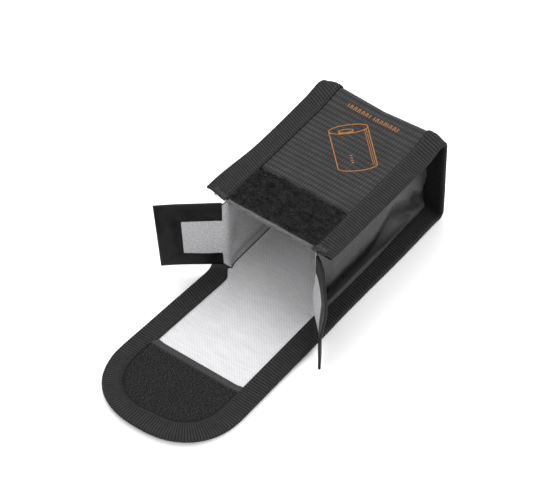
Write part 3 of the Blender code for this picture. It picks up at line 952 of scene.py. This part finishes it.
def loop_ground():
    """Woven ground of the loop tape."""
    x = spread(-LOOP_HALF, LOOP_HALF, 0.8)
    y = spread(LOOP_FIRST, LOOP_LAST, 0.8)
    wobble = loop_edge(x) + 0.2 * np.sin(x / 0.9)
    share = (y[:, None] - LOOP_FIRST) / (LOOP_LAST - LOOP_FIRST)
    yy = y[:, None] + wobble[None, :] * share
    xx = np.broadcast_to(x[None, :], yy.shape)
    lift = 0.55 + 0.12 * np.sin(xx / 1.9) * np.sin(yy / 1.3)
    top, low = front_point(xx, yy, lift), front_point(xx, yy, 0.1)
    points = soften(there_and_back(top, low))
    around = np.concatenate([x, x[::-1]])
    dress(closed_sweep("loop_ground", points, around, y, "hook_base"), "bag", "loop_pile")


def loop_pile():
    """Thick, tangled pile of the loop tape: many small arches of fibre."""
    rng = np.random.default_rng(7)
    x = rng.uniform(-LOOP_HALF, LOOP_HALF, LOOP_COUNT)
    y = LOOP_FIRST + (LOOP_LAST - LOOP_FIRST) * rng.uniform(0.0, 1.0, LOOP_COUNT) ** 0.97
    stray = rng.normal(0.0, 0.35, LOOP_COUNT)
    y = y + loop_edge(x) + stray * (y > LOOP_LAST - 1.5)
    turn = rng.uniform(0.0, 2.0 * math.pi, LOOP_COUNT)[:, None]
    reach = rng.uniform(0.8, 2.4, LOOP_COUNT)[:, None]
    tall = rng.uniform(0.5, 1.25, LOOP_COUNT)[:, None]
    steps = np.linspace(0.0, 1.0, 5)
    px = x[:, None] + np.cos(turn) * reach * (steps - 0.5)
    py = y[:, None] + np.sin(turn) * reach * (steps - 0.5)
    px = np.clip(px, -LOOP_HALF, LOOP_HALF)
    py = np.maximum(py, LOOP_FIRST + 0.1)
    paths = soften(front_point(px, py, 0.5 + tall * np.sin(steps * math.pi)))
    radii = np.broadcast_to([0.07, 0.075, 0.07, 0.075, 0.07], px.shape)
    pile = tube_object("loop_fibres", paths, radii, 3, "loop")
    dress(pile, "bag", "loop_pile", "loop_strip")


TACK_COUNT = 16
LOOSE_COUNT = {"left": 4, "right": 13}


def bar_tacks():
    """Dense thread bars over the binding's ends, with loose thread ends."""
    steps = np.linspace(0.0, 1.0, 7)[None, :]
    shape = (TACK_COUNT, 1)
    for index, (side_name, side) in enumerate(SIDES.items()):
        rng = np.random.default_rng(20 + index)
        low, high = box(side_name + "_bar_tack")
        x = np.linspace(low.x + 0.3, high.x - 0.3, TACK_COUNT)[:, None]
        lean = RIB_SKEW[side_name] * MOUTH_LEAN[side_name]
        y = MOUTH_Y + TAPE_START[side_name] + 0.6 + lean * (HALF - np.abs(x))
        y = y + (high.y - low.y + 0.6) * steps + rng.normal(0.0, 0.12, shape)
        z = DEPTH - 0.1 + 0.55 * np.sin(steps * math.pi) ** 0.5 + 0.0 * y
        x = x + rng.normal(0.0, 0.12, shape) * (steps - 0.5) * 3.0
        bars = soften(np.stack([x, y, z], -1))
        loose = soften(loose_threads(rng, side, low.y, LOOSE_COUNT[side_name]))
        for what, paths, radius, sides in (("tack", bars, 0.2, 6), ("loose", loose, 0.13, 5)):
            radii = np.full(paths.shape[:2], radius)
            name = side_name + "_" + what + "_threads"
            nodes = [side_name + "_bar_tack"] if what == "tack" else []
            dress(tube_object(name, paths, radii, sides, "thread"), "bag", "sewing_thread", *nodes)


def loose_threads(rng, side, y0, count):
    """A few curled thread ends at a mouth corner."""
    steps = np.linspace(0.0, 1.0, 14)
    start_x = side * (TAPE_EDGE + rng.uniform(-0.8, 6.0, (count, 1)))
    turn = rng.uniform(0.0, 2.0 * math.pi, (count, 1))
    curl = rng.uniform(3.0, 6.5, (count, 1))
    size = rng.uniform(0.5, 1.1, (count, 1))
    angle = turn + curl * steps
    x = start_x + size * np.cos(angle) + side * 0.4 * steps
    y = y0 - 0.4 + size * np.sin(angle) - rng.uniform(0.2, 1.8, (count, 1)) * steps
    y = MOUTH_Y - THREAD_REACH * np.tanh((MOUTH_Y - y) / THREAD_REACH)
    z = DEPTH + 0.25 + 0.35 * np.sin(angle * 1.3) + 0.0 * steps - 0.9 * steps ** 2
    return np.stack([x, y, z], -1)


def ribbon(points, width):
    """Left and right edges of a flat line of the given width through (x, y) points."""
    side = inward_of(points) * width / 2.0
    return points + side, points - side


PRINT_CENTRE = np.array([1.8, 15.3])
PRINT_TURN = math.radians(46.7)                  # the pack is drawn leaning
PRINT_HALF_WIDTH = 8.6
PRINT_HALF_LENGTH = 13.8
PRINT_LINE = 0.45
PRINT_CAP = 2.6                                  # half height of the battery's drawn ends
TICK_GROUPS = ((-14.2, 12), (-0.4, 7), (6.6, 6))  # where each row of ticks starts, and its count
TICK_PITCH = 1.02
TICK_LOW, TICK_HIGH = 33.0, 34.9


def print_place(across, along):
    """A place in the drawn battery's own axes, on the front panel."""
    across, along = np.broadcast_arrays(np.asarray(across, float), np.asarray(along, float))
    x = math.cos(PRINT_TURN) * across - math.sin(PRINT_TURN) * along
    y = math.sin(PRINT_TURN) * across + math.cos(PRINT_TURN) * along
    return np.stack([x, y], -1) + PRINT_CENTRE


def ellipse(centre_along, across, along, first=0.0, last=360.0, shift=0.0):
    """Points on an ellipse in the drawn battery's axes."""
    angle = np.radians(np.linspace(first, last, 40))
    return print_place(shift + across * np.cos(angle), centre_along + along * np.sin(angle))


def print_lines():
    """Lines of a generic battery drawing and of a row of plain ticks."""
    w, h = PRINT_HALF_WIDTH, PRINT_HALF_LENGTH
    cap = PRINT_CAP
    top, foot = h - cap, cap - h
    button = {"across": w * 0.38, "along": cap * 0.36, "shift": -1.2}
    lines = [
        (ellipse(top, w, cap), PRINT_LINE),
        (ellipse(top - 0.9, **button), PRINT_LINE),
        (ellipse(top - 1.5, first=180.0, **button), PRINT_LINE),
        (ellipse(foot, w, cap, first=180.0), PRINT_LINE),
        (print_place(-w, np.linspace(top, foot, 12)), PRINT_LINE),
        (print_place(w, np.linspace(top, foot, 12)), PRINT_LINE),
    ]
    for inset in (0.9, 1.7):
        along = np.linspace(top - 1.2, foot - 0.2, 12)
        lines.append((print_place(w - inset, along), 0.28))
    for k in range(4):
        lines.append((print_place([-2.2, -1.1], foot + 2.4 + 1.4 * k), 0.5))
    for start, count in TICK_GROUPS:
        for k in range(count):
            x = start + TICK_PITCH * k
            lean = 0.25 if k % 2 else -0.2
            lines.append((np.array([[x, TICK_LOW], [x + lean, TICK_HIGH]]), 0.42))
    return lines


def front_print():
    """The orange print, laid over the weave as thin ribbons of ink."""
    vertices, faces, uvs = [], [], []
    lift = np.array([[0.13, 0.13, 0.02, 0.02]])
    for points, width in print_lines():
        if len(points) < 8:
            points = np.linspace(points[0], points[-1], 8)
        left, right = ribbon(points, width)
        ring = np.stack([left, right, right, left], axis=1)
        places = front_point(ring[..., 0], ring[..., 1], lift)
        first = len(vertices)
        vertices.extend(soften(places).reshape(-1, 3))
        flat = ring.reshape(-1, 2)
        quads = []
        for start in range(0, 4 * (len(points) - 1), 4):
            for m, n in ((0, 1), (1, 2), (2, 3), (3, 0)):
                quads.append((start + m, start + n, start + 4 + n, start + 4 + m))
        last = len(flat) - 4
        quads += [(0, 1, 2, 3), (last, last + 3, last + 2, last + 1)]
        for quad in quads:
            faces.append([first + q for q in quad])
            uvs.extend(flat[q] for q in quad)
    thing = mesh_object("front_print", vertices, faces, uvs, "print", smooth=False)
    face_outwards(thing)
    dress(thing, "bag", "coated_shell_cloth")


# ---------------------------------------------------------------- flap

def ride_cover(thing):
    """Bake the piece's transform; the places either side of the flap's lift are passed on but not
    used.
    """
    bend_between(thing, (0.0, LIFT.y + 2.8), (0.0, LIFT.y - 2.8))


def ride_tongue(thing):
    """Bake the piece's transform; the places either side of the flap's fold are passed on but not
    used.
    """
    bend_between(thing, (0.0, FOLD.y + 3.4), (0.0, FOLD.y - 1.2))


def tip_half(s, inset):
    """Half width of a sheet that stops inset from the flap's edge."""
    reach = TIP_END - TIP_START - inset
    t = np.clip((s - TIP_START) / reach, 0.0, 1.0)
    return (HALF - inset) * (1.0 - t ** TIP_POWER) ** (1.0 / TIP_POWER)


def tip_rows(last, count, share):
    """Rows on the rounded tip up to a share of the way, closer together towards the end."""
    t = np.sin(np.linspace(0.0, math.pi / 2.0, count))[1:]
    return TIP_START + (last - TIP_START) * t * share


def flap_sag(x, s):
    """How far the flap's cloth sinks; it lies flat again at the tip."""
    return sag(x, s) * (1.0 - 0.6 * ramp(TIP_START - 12.0, TIP_START, s))


def lining_folds(x, s):
    """Shallow ripples across the flap's lining."""
    beyond = s - along_at(FOLD.y + 17.0)
    middle = 1.0 - ramp(0.3, 0.95, np.abs(x) / TAPE_EDGE)
    wave = np.sin(beyond / 1.6 + 1.5 * np.sin(x / 9.0))
    return 0.16 * wave * bell(beyond / 9.0) * middle


def flap_sheets():
    """Shell and lining of the flap, each in a lifting and a folding part."""
    inset = HALF - CLOTH_EDGE
    columns = columns_for(0.9, CLOTH_EDGE)
    cover_rows = spread(SPLIT_BACK, SPLIT_COVER, 0.8)
    widening = ramp(along_at(GUSSET_MOUTH_Y), along_at(LIFT.y), cover_rows)
    straight = spread(SPLIT_COVER, TIP_START, 0.9)
    tongue_rows = np.concatenate([straight, tip_rows(TIP_END - inset, 40, 0.9985)])
    tongue_length = TIP_END - SPLIT_COVER
    area = 2.0 * CLOTH_EDGE * tongue_length * 0.93
    laid = {"held": "laid", "rests_on": ["floor"]}
    layers = (
        ("shell", SHELL_LEVEL, CLOTH_EDGE, None, "coated_shell_cloth"),
        ("lining", LINING_LEVEL, PANEL_LINING_X, lining_folds, "white_lining"),
    )
    for what, level, narrow, relief, slot in layers:
        half = narrow + (CLOTH_EDGE - narrow) * widening
        thing = sheet_sweep("cover_" + what, cover_rows, half, level, what, columns,
                            shift=flap_sag, back=relief)
        dress(thing, ride_cover, slot, "flap_cover_" + what,
              flat=(2.0 * CLOTH_EDGE, SPLIT_COVER - SPLIT_BACK), **laid)
        half = tip_half(tongue_rows, inset)
        thing = sheet_sweep("tongue_" + what, tongue_rows, half, level, what, columns,
                            shift=flap_sag, back=relief)
        dress(thing, ride_tongue, slot, "flap_tongue_" + what,
              flat=(2.0 * CLOTH_EDGE, tongue_length), area=area, **laid)


def tip_route(first):
    """Edge of the tongue from its left side round the tip to its right, by arc length."""
    angle = np.linspace(0.0, math.pi, 1600)
    across = np.sign(np.cos(angle)) * np.abs(np.cos(angle)) ** (2.0 / TIP_POWER)
    along = np.abs(np.sin(angle)) ** (2.0 / TIP_POWER)
    arc = np.stack([-across * HALF, TIP_START_Y - along * (TIP_START_Y - TIP_Y)], -1)
    straight = spread(END_Y - CORNER - (first - BACK_START), TIP_START_Y, 0.2)[:-1]
    left = np.stack([np.full(straight.shape, -HALF), straight], -1)
    right = left[::-1] * np.array([-1.0, 1.0])
    return np.concatenate([left, arc, right])


def distances(points):
    """Distance of each point from the first, along the line through them."""
    return np.concatenate([[0.0], np.cumsum(np.linalg.norm(np.diff(points, axis=0), axis=1))])


def even_route(points, step):
    """The same route with stations one step apart, and their distances along it."""
    lengths = distances(points)
    even = spread(0.0, lengths[-1], step)
    return np.stack([np.interp(even, lengths, column) for column in points.T], -1), even


def cover_tapes():
    """Binding of the flap's two sides."""
    for side_name in SIDES:
        thing = fin(side_name + "_cover_tape", side_name, SPLIT_BACK, SPLIT_COVER)
        dress(thing, ride_cover, "binding_tape", side_name + "_binding_flap_cover",
              flat=(2.0 * TAPE_FACE + BINDING, SPLIT_COVER - SPLIT_BACK), held="folded",
              rests_on=["cover_shell"])


def tongue_tape():
    """Binding of the tongue, in one run round the tip."""
    margin = 8.0
    fade = 25.0
    outline, even = even_route(tip_route(SPLIT_COVER - margin), 0.3)
    flat = 0.0 * even[:, None]
    edge = np.concatenate([outline, flat], axis=1)
    inward = np.concatenate([inward_of(outline), flat], axis=1)
    normal = 0.0 * edge - np.array([0.0, 0.0, 1.0])
    rows = rib_rows(SPLIT_COVER, SPLIT_COVER + even[-1] - 2.0 * margin)
    route = (even + SPLIT_COVER - margin, edge, inward, normal)
    skew = RIB_SKEW["left"] * (1.0 - ramp(rows[0], rows[0] + fade, rows))
    skew = skew - RIB_SKEW["right"] * ramp(rows[-1] - fade, rows[-1], rows)
    x, y = (np.interp(rows, route[0], column) for column in outline.T)
    patched = 1.0 - ramp(PATCH_Y - 2.0, PATCH_Y, y)
    left = patched * (1.0 - ramp(-10.0, 4.0, x))
    thing = sweep_tape("tongue_tape", route, rows, tape_section(TAPE_FACE, TAPE_FACE), skew,
                       back_share=1.0 - 0.15 * left, ridge=0.6 * patched)
    dress(thing, ride_tongue, "binding_tape", "flap_tongue_binding",
          flat=(2.0 * TAPE_FACE + BINDING, float(rows[-1] - rows[0])), held="folded",
          rests_on=["tongue_shell"])


PATCH_EDGE = HALF - TAPE_FACE
PATCH_FIRST = along_at(PATCH_Y)
PATCH_LAST = TIP_END - TAPE_FACE + 2.4
PATCH_LEVEL = LINING_LEVEL + CLOTH + 0.05
PATCH_THICKNESS = 0.35
HOOK_PITCH = 0.85


def patch_half(s, inset):
    """Half width of the hook patch at arc length s."""
    return tip_half(s, TAPE_FACE + inset)


def patch_relief(x, s):
    """Rolled border of the hook patch, with a groove between it and the hooks."""
    beyond = s - PATCH_FIRST
    rolled = np.clip(1.0 - ((beyond / PATCH_BORDER - 0.45) / 0.5) ** 2, 0.0, 1.0)
    groove = bell((beyond - PATCH_BORDER) / 0.4)
    free = 1.0 - ramp(PATCH_EDGE - 0.4, PATCH_EDGE + 0.6, np.abs(x))
    return free * (0.6 * rolled - 0.45 * groove)


def hook_ground():
    """Woven ground of the hook tape, with a smooth straight edge."""
    straight = spread(PATCH_FIRST, TIP_START, 0.3)
    rows = np.concatenate([straight, tip_rows(PATCH_LAST, 30, 0.998)])
    thing = sheet_sweep("hook_ground", rows, patch_half(rows, -2.6), PATCH_LEVEL, "hook_base",
                        columns_for(0.8, PATCH_EDGE), thickness=PATCH_THICKNESS,
                        shift=flap_sag, back=patch_relief)
    dress(thing, "flap_tongue", "hook_tape", "hook_patch")


def hook_field():
    """Rows of small hooks that lean to either side."""
    rng = np.random.default_rng(11)
    s = np.arange(PATCH_FIRST + PATCH_BORDER + 0.7, PATCH_LAST, HOOK_PITCH)
    x = np.arange(-HALF, HALF, HOOK_PITCH)
    ss, xx = np.meshgrid(s, x, indexing="ij")
    xx = xx + (np.arange(len(s)) % 2)[:, None] * HOOK_PITCH / 2.0
    ss = ss + rng.normal(0.0, 0.09, ss.shape)
    xx = xx + rng.normal(0.0, 0.09, xx.shape)
    inside = np.abs(xx) < patch_half(ss, np.where(xx < 0.0, -0.1, 0.9))
    ss, xx = ss[inside][:, None], xx[inside][:, None]
    tall = rng.uniform(0.5, 0.72, ss.shape)
    lean = np.where(rng.random(ss.shape) < 0.5, 1.0, -1.0)
    sideways = np.array([0.0, 0.0, 0.12, 0.3, 0.42])
    rise = np.array([0.0, 0.45, 0.75, 1.0, 1.0])
    drop = np.array([0.0, 0.0, 0.0, 0.0, -0.2])
    px = xx + lean * sideways
    py = END_Y - CORNER - (ss - BACK_START) + 0.0 * px
    pz = PATCH_LEVEL + PATCH_THICKNESS - flap_sag(xx, ss) + tall * rise + drop
    radii = np.broadcast_to([0.13, 0.12, 0.12, 0.11, 0.08], px.shape)
    thing = tube_object("hook_field", soften(np.stack([px, py, pz], -1)), radii, 4, "hook")
    dress(thing, "flap_tongue", "hook_tape")


# ---------------------------------------------------------------- side tabs

TAB_FACES = {"bottom": 7.9, "end": 11.4, "top": 10.9}
TAB_START = 0.2
TAB_LAYER = 0.25                                 # each layer lies this far from the middle
TAB_THICKNESS = 1.25
TAB_CURVE = 3.0                                  # the tab is straight beyond this
TAB_ROOT = 5.6                                   # length of its curve from the gusset
WALL_MIDDLE = WALL_X + CLOTH / 2.0 - TAB_LAYER


class TabPath:
    """Plan of a side tab: from its gusset's mouth edge, round the hinge and out.

    t is the distance along the tab from its hinge; it is negative on the root.
    """

    first = TAB_CURVE - TAB_ROOT

    def __init__(self, side_name):
        self.side = SIDES[side_name]
        hinge = point(JOINTS[side_name + "_tab_swing"]["pos_m"])
        self.hinge = np.array([abs(hinge.x), hinge.y])
        angle = math.radians(TAB_OPEN[side_name])
        self.heading = np.array([math.sin(angle), -math.cos(angle)])
        self.root = np.array([WALL_MIDDLE, GUSSET_MOUTH_Y - 0.02])

    def plan(self, t):
        """Middle line and outward normal, on the right-hand side."""
        t = np.asarray(t, float)[..., None]
        share = np.clip((t - self.first) / TAB_ROOT, 0.0, 1.0)
        joined = self.hinge + self.heading * TAB_CURVE
        down = np.array([0.0, -1.0]) * TAB_ROOT
        out = self.heading * TAB_ROOT
        curve = (
            (2.0 * share ** 3 - 3.0 * share ** 2 + 1.0) * self.root
            + (share ** 3 - 2.0 * share ** 2 + share) * down
            + (3.0 * share ** 2 - 2.0 * share ** 3) * joined
            + (share ** 3 - share ** 2) * out
        )
        slope = (
            (6.0 * share ** 2 - 6.0 * share) * (self.root - joined)
            + (3.0 * share ** 2 - 4.0 * share + 1.0) * down
            + (3.0 * share ** 2 - 2.0 * share) * out
        )
        line = np.where(t > TAB_CURVE, self.hinge + self.heading * t, curve)
        slope = np.where(t > TAB_CURVE, self.heading, slope)
        slope = slope / np.linalg.norm(slope, axis=-1, keepdims=True)
        return line, np.stack([-slope[..., 1], slope[..., 0]], -1)

    def place(self, t, z, out):
        """Points at distance t, height z and out from the tab's middle surface."""
        t, z, out = np.broadcast_arrays(t, z, out)
        high = (z - TAB_LOW) / (TAB_HIGH - TAB_LOW)
        free = ramp(0.0, TAB_LENGTH, t)
        stretched, turned, drop = t, 0.0, 0.0
        if self.side < 0.0:
            stretched = t + free * (high * 1.2 - (1.0 - high) * 1.6)
        else:
            turned = np.radians(6.0 - 6.0 * ramp(0.3, 0.9, high)) * free
            drop = -2.4 * free * (1.0 - high)
        line, normal = self.plan(stretched)
        bow = tab_bow(self, t, high) - mouth_bulge(self.side, t, z)
        away = line + normal * (out + bow)[..., None] - self.hinge
        cos, sin = np.cos(turned), np.sin(turned)
        x = self.hinge[0] + away[..., 0] * cos + away[..., 1] * sin
        y = self.hinge[1] - away[..., 0] * sin + away[..., 1] * cos
        points = np.stack([self.side * x, y, z + drop + 0.0 * t], -1)
        rooted = 1.0 - ramp(self.first, self.first + 5.0, t)
        return points + (soften(points) - points) * rooted[..., None]


def mouth_bulge(side, t, z):
    """How far the cloth at the mouth's side edge leans in; t is beyond the hinge."""
    share = np.clip((z - 4.0) / 25.0, 0.0, 1.0)
    most = 1.8 if side > 0.0 else 0.5
    return most * np.sin(math.pi * share) ** 2 * bell((t - 6.0) / 8.0)


def tab_bow(path, t, high):
    """Curl and waviness of a free tab; high is 0 at its lower edge and 1 at its upper."""
    free = ramp(2.0, TAB_LENGTH, t)
    curl = free * (0.4 * np.sin(t / 9.0) + 0.25 * np.sin(5.0 * high + 1.0))
    if path.side < 0.0:
        return curl
    root = ramp(path.first, path.first + 4.0, t)
    return curl + 1.1 * root * ramp(0.6, 0.95, high) * bell((t - 9.0) / 7.0)


def tab_sheet(name, path, out, look):
    """One layer of cloth in a tab, from the gusset's mouth edge to inside its binding."""
    margin = 2.6
    t = spread(path.first, TAB_LENGTH - 1.3, 0.8)
    narrow = ramp(path.first, TAB_START, t)[:, None]
    low = margin + (TAB_LOW + 1.0 - margin) * narrow
    high = DEPTH - margin - (DEPTH - margin - TAB_HIGH + 1.0) * narrow
    share = np.linspace(0.0, 1.0, 50)
    z = low + (high - low) * share
    near = path.place(t[:, None], z, out - CLOTH / 2.0)
    far = path.place(t[:, None], z, out + CLOTH / 2.0)
    points = there_and_back(near, far)
    across = np.concatenate([share, share[::-1]]) * (TAB_HIGH - TAB_LOW)
    return closed_sweep(name, points, across, t, look)


def tab_tape(name, path):
    """Folded tape on three edges of a tab, mitred at its two outer corners.

    The rows of the sweep go along the route, and each row's columns lie on a mitre line
    at a corner, so that both faces keep their own width on each run.
    """
    low, high, end = TAB_LOW, TAB_HIGH, TAB_LENGTH
    foot, head, far = low + TAB_FACES["bottom"], high - TAB_FACES["top"], end - TAB_FACES["end"]
    outer = np.array([(TAB_START, low), (end, low), (end, high), (TAB_START, high)])
    inner = np.array([(TAB_START, foot), (far, foot), (far, head), (TAB_START, head)])
    stations = []
    for k in range(3):
        steps = spread(0.0, 1.0, 0.6 / math.dist(outer[k], outer[k + 1]))
        for step in steps[min(k, 1):]:
            stations.append([line[k] + (line[k + 1] - line[k]) * step for line in (outer, inner)])
    edge, border = np.array(stations).transpose(1, 0, 2)
    width = 10.0
    points, _, across = tape_section(width, width, TAB_THICKNESS, 0.3, 0.8)
    flat = edge[:, None] + (border - edge)[:, None] * (points[:, 0] / width)[None, :, None]
    out = points[:, 1] - TAB_THICKNESS / 2.0
    place = path.place(flat[..., 0], flat[..., 1], out[None, :])
    return closed_sweep(name, place, across, distances(edge), "tab_tape")


def ride_tab(thing, side_name, path):
    """Bake the piece's transform; the places at the gusset and past the hinge are passed on but not
    used.
    """
    end = path.hinge + path.heading * 2.6
    start, end = ((path.side * x, y) for x, y in (path.root, end))
    bend_between(thing, start, end)


def tabs():
    """Both side tabs with their lining, coating and binding."""
    height = TAB_HIGH - TAB_LOW
    run = 2.0 * TAB_LENGTH + height
    width = 2.0 * sum(TAB_FACES.values()) / 3.0 + BINDING
    layers = (
        ("_tab_cloth", TAB_LAYER, "gusset", "_tab_shell", "coated_gusset_cloth"),
        ("_tab_inside", -TAB_LAYER, "inside", "_tab_lining", "white_lining"),
    )
    for side_name in SIDES:
        path = TabPath(side_name)
        swing = functools.partial(ride_tab, side_name=side_name, path=path)
        for suffix, out, look, node, slot in layers:
            thing = tab_sheet(side_name + suffix, path, out, look)
            dress(thing, swing, slot, side_name + node, flat=(height, TAB_LENGTH + 2.0),
                  held="hung", rests_on=[side_name + "_gusset_cloth"])
        thing = tab_tape(side_name + "_tab_tape", path)
        dress(thing, swing, "binding_tape", side_name + "_tab_binding", flat=(width, run),
              held="folded", area=0.85 * width * run, rests_on=[side_name + "_tab_cloth"])


# ---------------------------------------------------------------- stitching

STITCH = 2.3
STITCH_PITCH = 3.0
STITCH_INSET = 1.5


def stitch_paths(place, first, last):
    """Short threads along a seam; place(s, lift) gives points of the seam."""
    starts = np.arange(first + 0.4, last - STITCH, STITCH_PITCH)
    share = np.linspace(0.0, 1.0, 5)
    s = starts[:, None] + STITCH * share[None, :]
    lift = 0.16 * np.sin(share * math.pi)[None, :] - 0.06 + 0.0 * s
    return place(s, lift)


def stitch_object(name, rides, groups):
    """One object of all the threads in the groups."""
    paths = np.concatenate(groups)
    radii = np.broadcast_to([0.06, 0.12, 0.13, 0.12, 0.06], paths.shape[:2])
    dress(tube_object(name, paths, radii, 5, "thread"), rides, "sewing_thread")


def fin_seam(side, depth):
    """Seam on a face of a side fin: depth 0 is the outer face, BINDING the inner."""
    inset = TAPE_FACE - STITCH_INSET

    def place(s, lift):
        edge, normal = strip_frames(s)
        sign = 1.0 if depth < BINDING / 2.0 else -1.0
        points = edge + normal * (lift * sign - depth)[..., None]
        points[..., 0] = side * (HALF - inset)
        return soften(points)

    return place


def stitches():
    """Seams of the binding, the loop strip and the flap."""
    body = [stitch_paths(fin_seam(side, 0.0), 0.0, SPLIT_BACK) for side in SIDES.values()]
    for y in (LOOP_LOW.y + 0.9, LOOP_HIGH.y - 1.0):
        def place(s, lift, y=y):
            return soften(front_point(s, y, 0.65 + lift))
        body.append(stitch_paths(place, -LOOP_HALF, LOOP_HALF))
    stitch_object("body_stitches", "bag", body)
    cover = []
    for side in SIDES.values():
        cover.append(stitch_paths(fin_seam(side, 0.0), SPLIT_BACK, SPLIT_COVER))
        cover.append(stitch_paths(fin_seam(side, BINDING), along_at(LIFT.y - 2.0), SPLIT_COVER))
    stitch_object("cover_stitches", ride_cover, cover)
    route, even = even_route(tip_route(SPLIT_COVER), 0.5)
    inner = route + inward_of(route) * (TAPE_FACE - STITCH_INSET)
    tongue = []
    for top in (False, True):
        def place(s, lift, top=top):
            x, y = (np.interp(s, even, column) for column in inner.T)
            return soften(np.stack([x, y, BINDING + lift if top else -lift], -1))
        tongue.append(stitch_paths(place, 0.0, float(even[-1])))
    stitch_object("tongue_stitches", ride_tongue, tongue)


# ---------------------------------------------------------------- camera and light

def camera():
    """Camera at the photograph's viewing angle."""
    data = bpy.data.cameras.new("camera")
    data.lens = LENS
    data.sensor_width = 36.0
    data.clip_start = 0.05
    data.clip_end = 50.0
    thing = bpy.data.objects.new("camera", data)
    bpy.context.scene.collection.objects.link(thing)
    a, e = math.radians(AZIMUTH), math.radians(ELEVATION)
    back = Vector((math.sin(a) * math.cos(e), -math.cos(a) * math.cos(e), math.sin(e)))
    thing.location = AIM + back * DISTANCE
    thing.rotation_euler = back.to_track_quat("Z", "Y").to_euler()
    bpy.context.scene.camera = thing


def area_light(name, place, size, power, aim=(0.0, -0.03, 0.02)):
    """A soft round light that looks at the bag; its lengths are in metres."""
    data = bpy.data.lights.new(name, "AREA")
    data.shape = "DISK"
    data.size = size
    data.energy = power
    thing = bpy.data.objects.new(name, data)
    bpy.context.scene.collection.objects.link(thing)
    thing.location = place
    direction = Vector(aim) - Vector(place)
    thing.rotation_euler = direction.to_track_quat("-Z", "Y").to_euler()


def floor():
    """White floor under the bag."""
    mesh = bpy.data.meshes.new("floor")
    bm = bmesh.new()
    bmesh.ops.create_grid(bm, x_segments=1, y_segments=1, size=6.0)
    bm.to_mesh(mesh)
    bm.free()
    thing = bpy.data.objects.new("floor", mesh)
    bpy.context.scene.collection.objects.link(thing)
    thing.location.z = -0.25 * MM
    paint = bpy.data.materials.new("floor_paint")
    paint.use_nodes = True
    shader = paint.node_tree.nodes["Principled BSDF"]
    shader.inputs["Base Color"].default_value = (0.93, 0.93, 0.93, 1.0)
    shader.inputs["Roughness"].default_value = 0.9
    mesh.materials.append(paint)


def studio():
    """Pale surroundings and two soft lights."""
    world = bpy.data.worlds.new("studio")
    world.use_nodes = True
    background = world.node_tree.nodes["Background"]
    background.inputs["Color"].default_value = (1.0, 1.0, 1.0, 1.0)
    background.inputs["Strength"].default_value = 1.5
    bpy.context.scene.world = world
    area_light("key", (-0.6, 0.3, 1.2), 0.9, 8.0)
    area_light("side", (1.0, -0.3, 0.6), 0.6, 2.5)
    bpy.context.scene.view_settings.view_transform = "Standard"


def build():
    """Make every piece and its surroundings."""
    body_shell()
    body_lining()
    gussets()
    body_tapes()
    mouth_hem()
    loop_ground()
    loop_pile()
    bar_tacks()
    front_print()
    flap_sheets()
    cover_tapes()
    tongue_tape()
    hook_ground()
    hook_field()
    tabs()
    stitches()
    camera()
    floor()
    studio()


build()
bpy.context.view_layer.update()
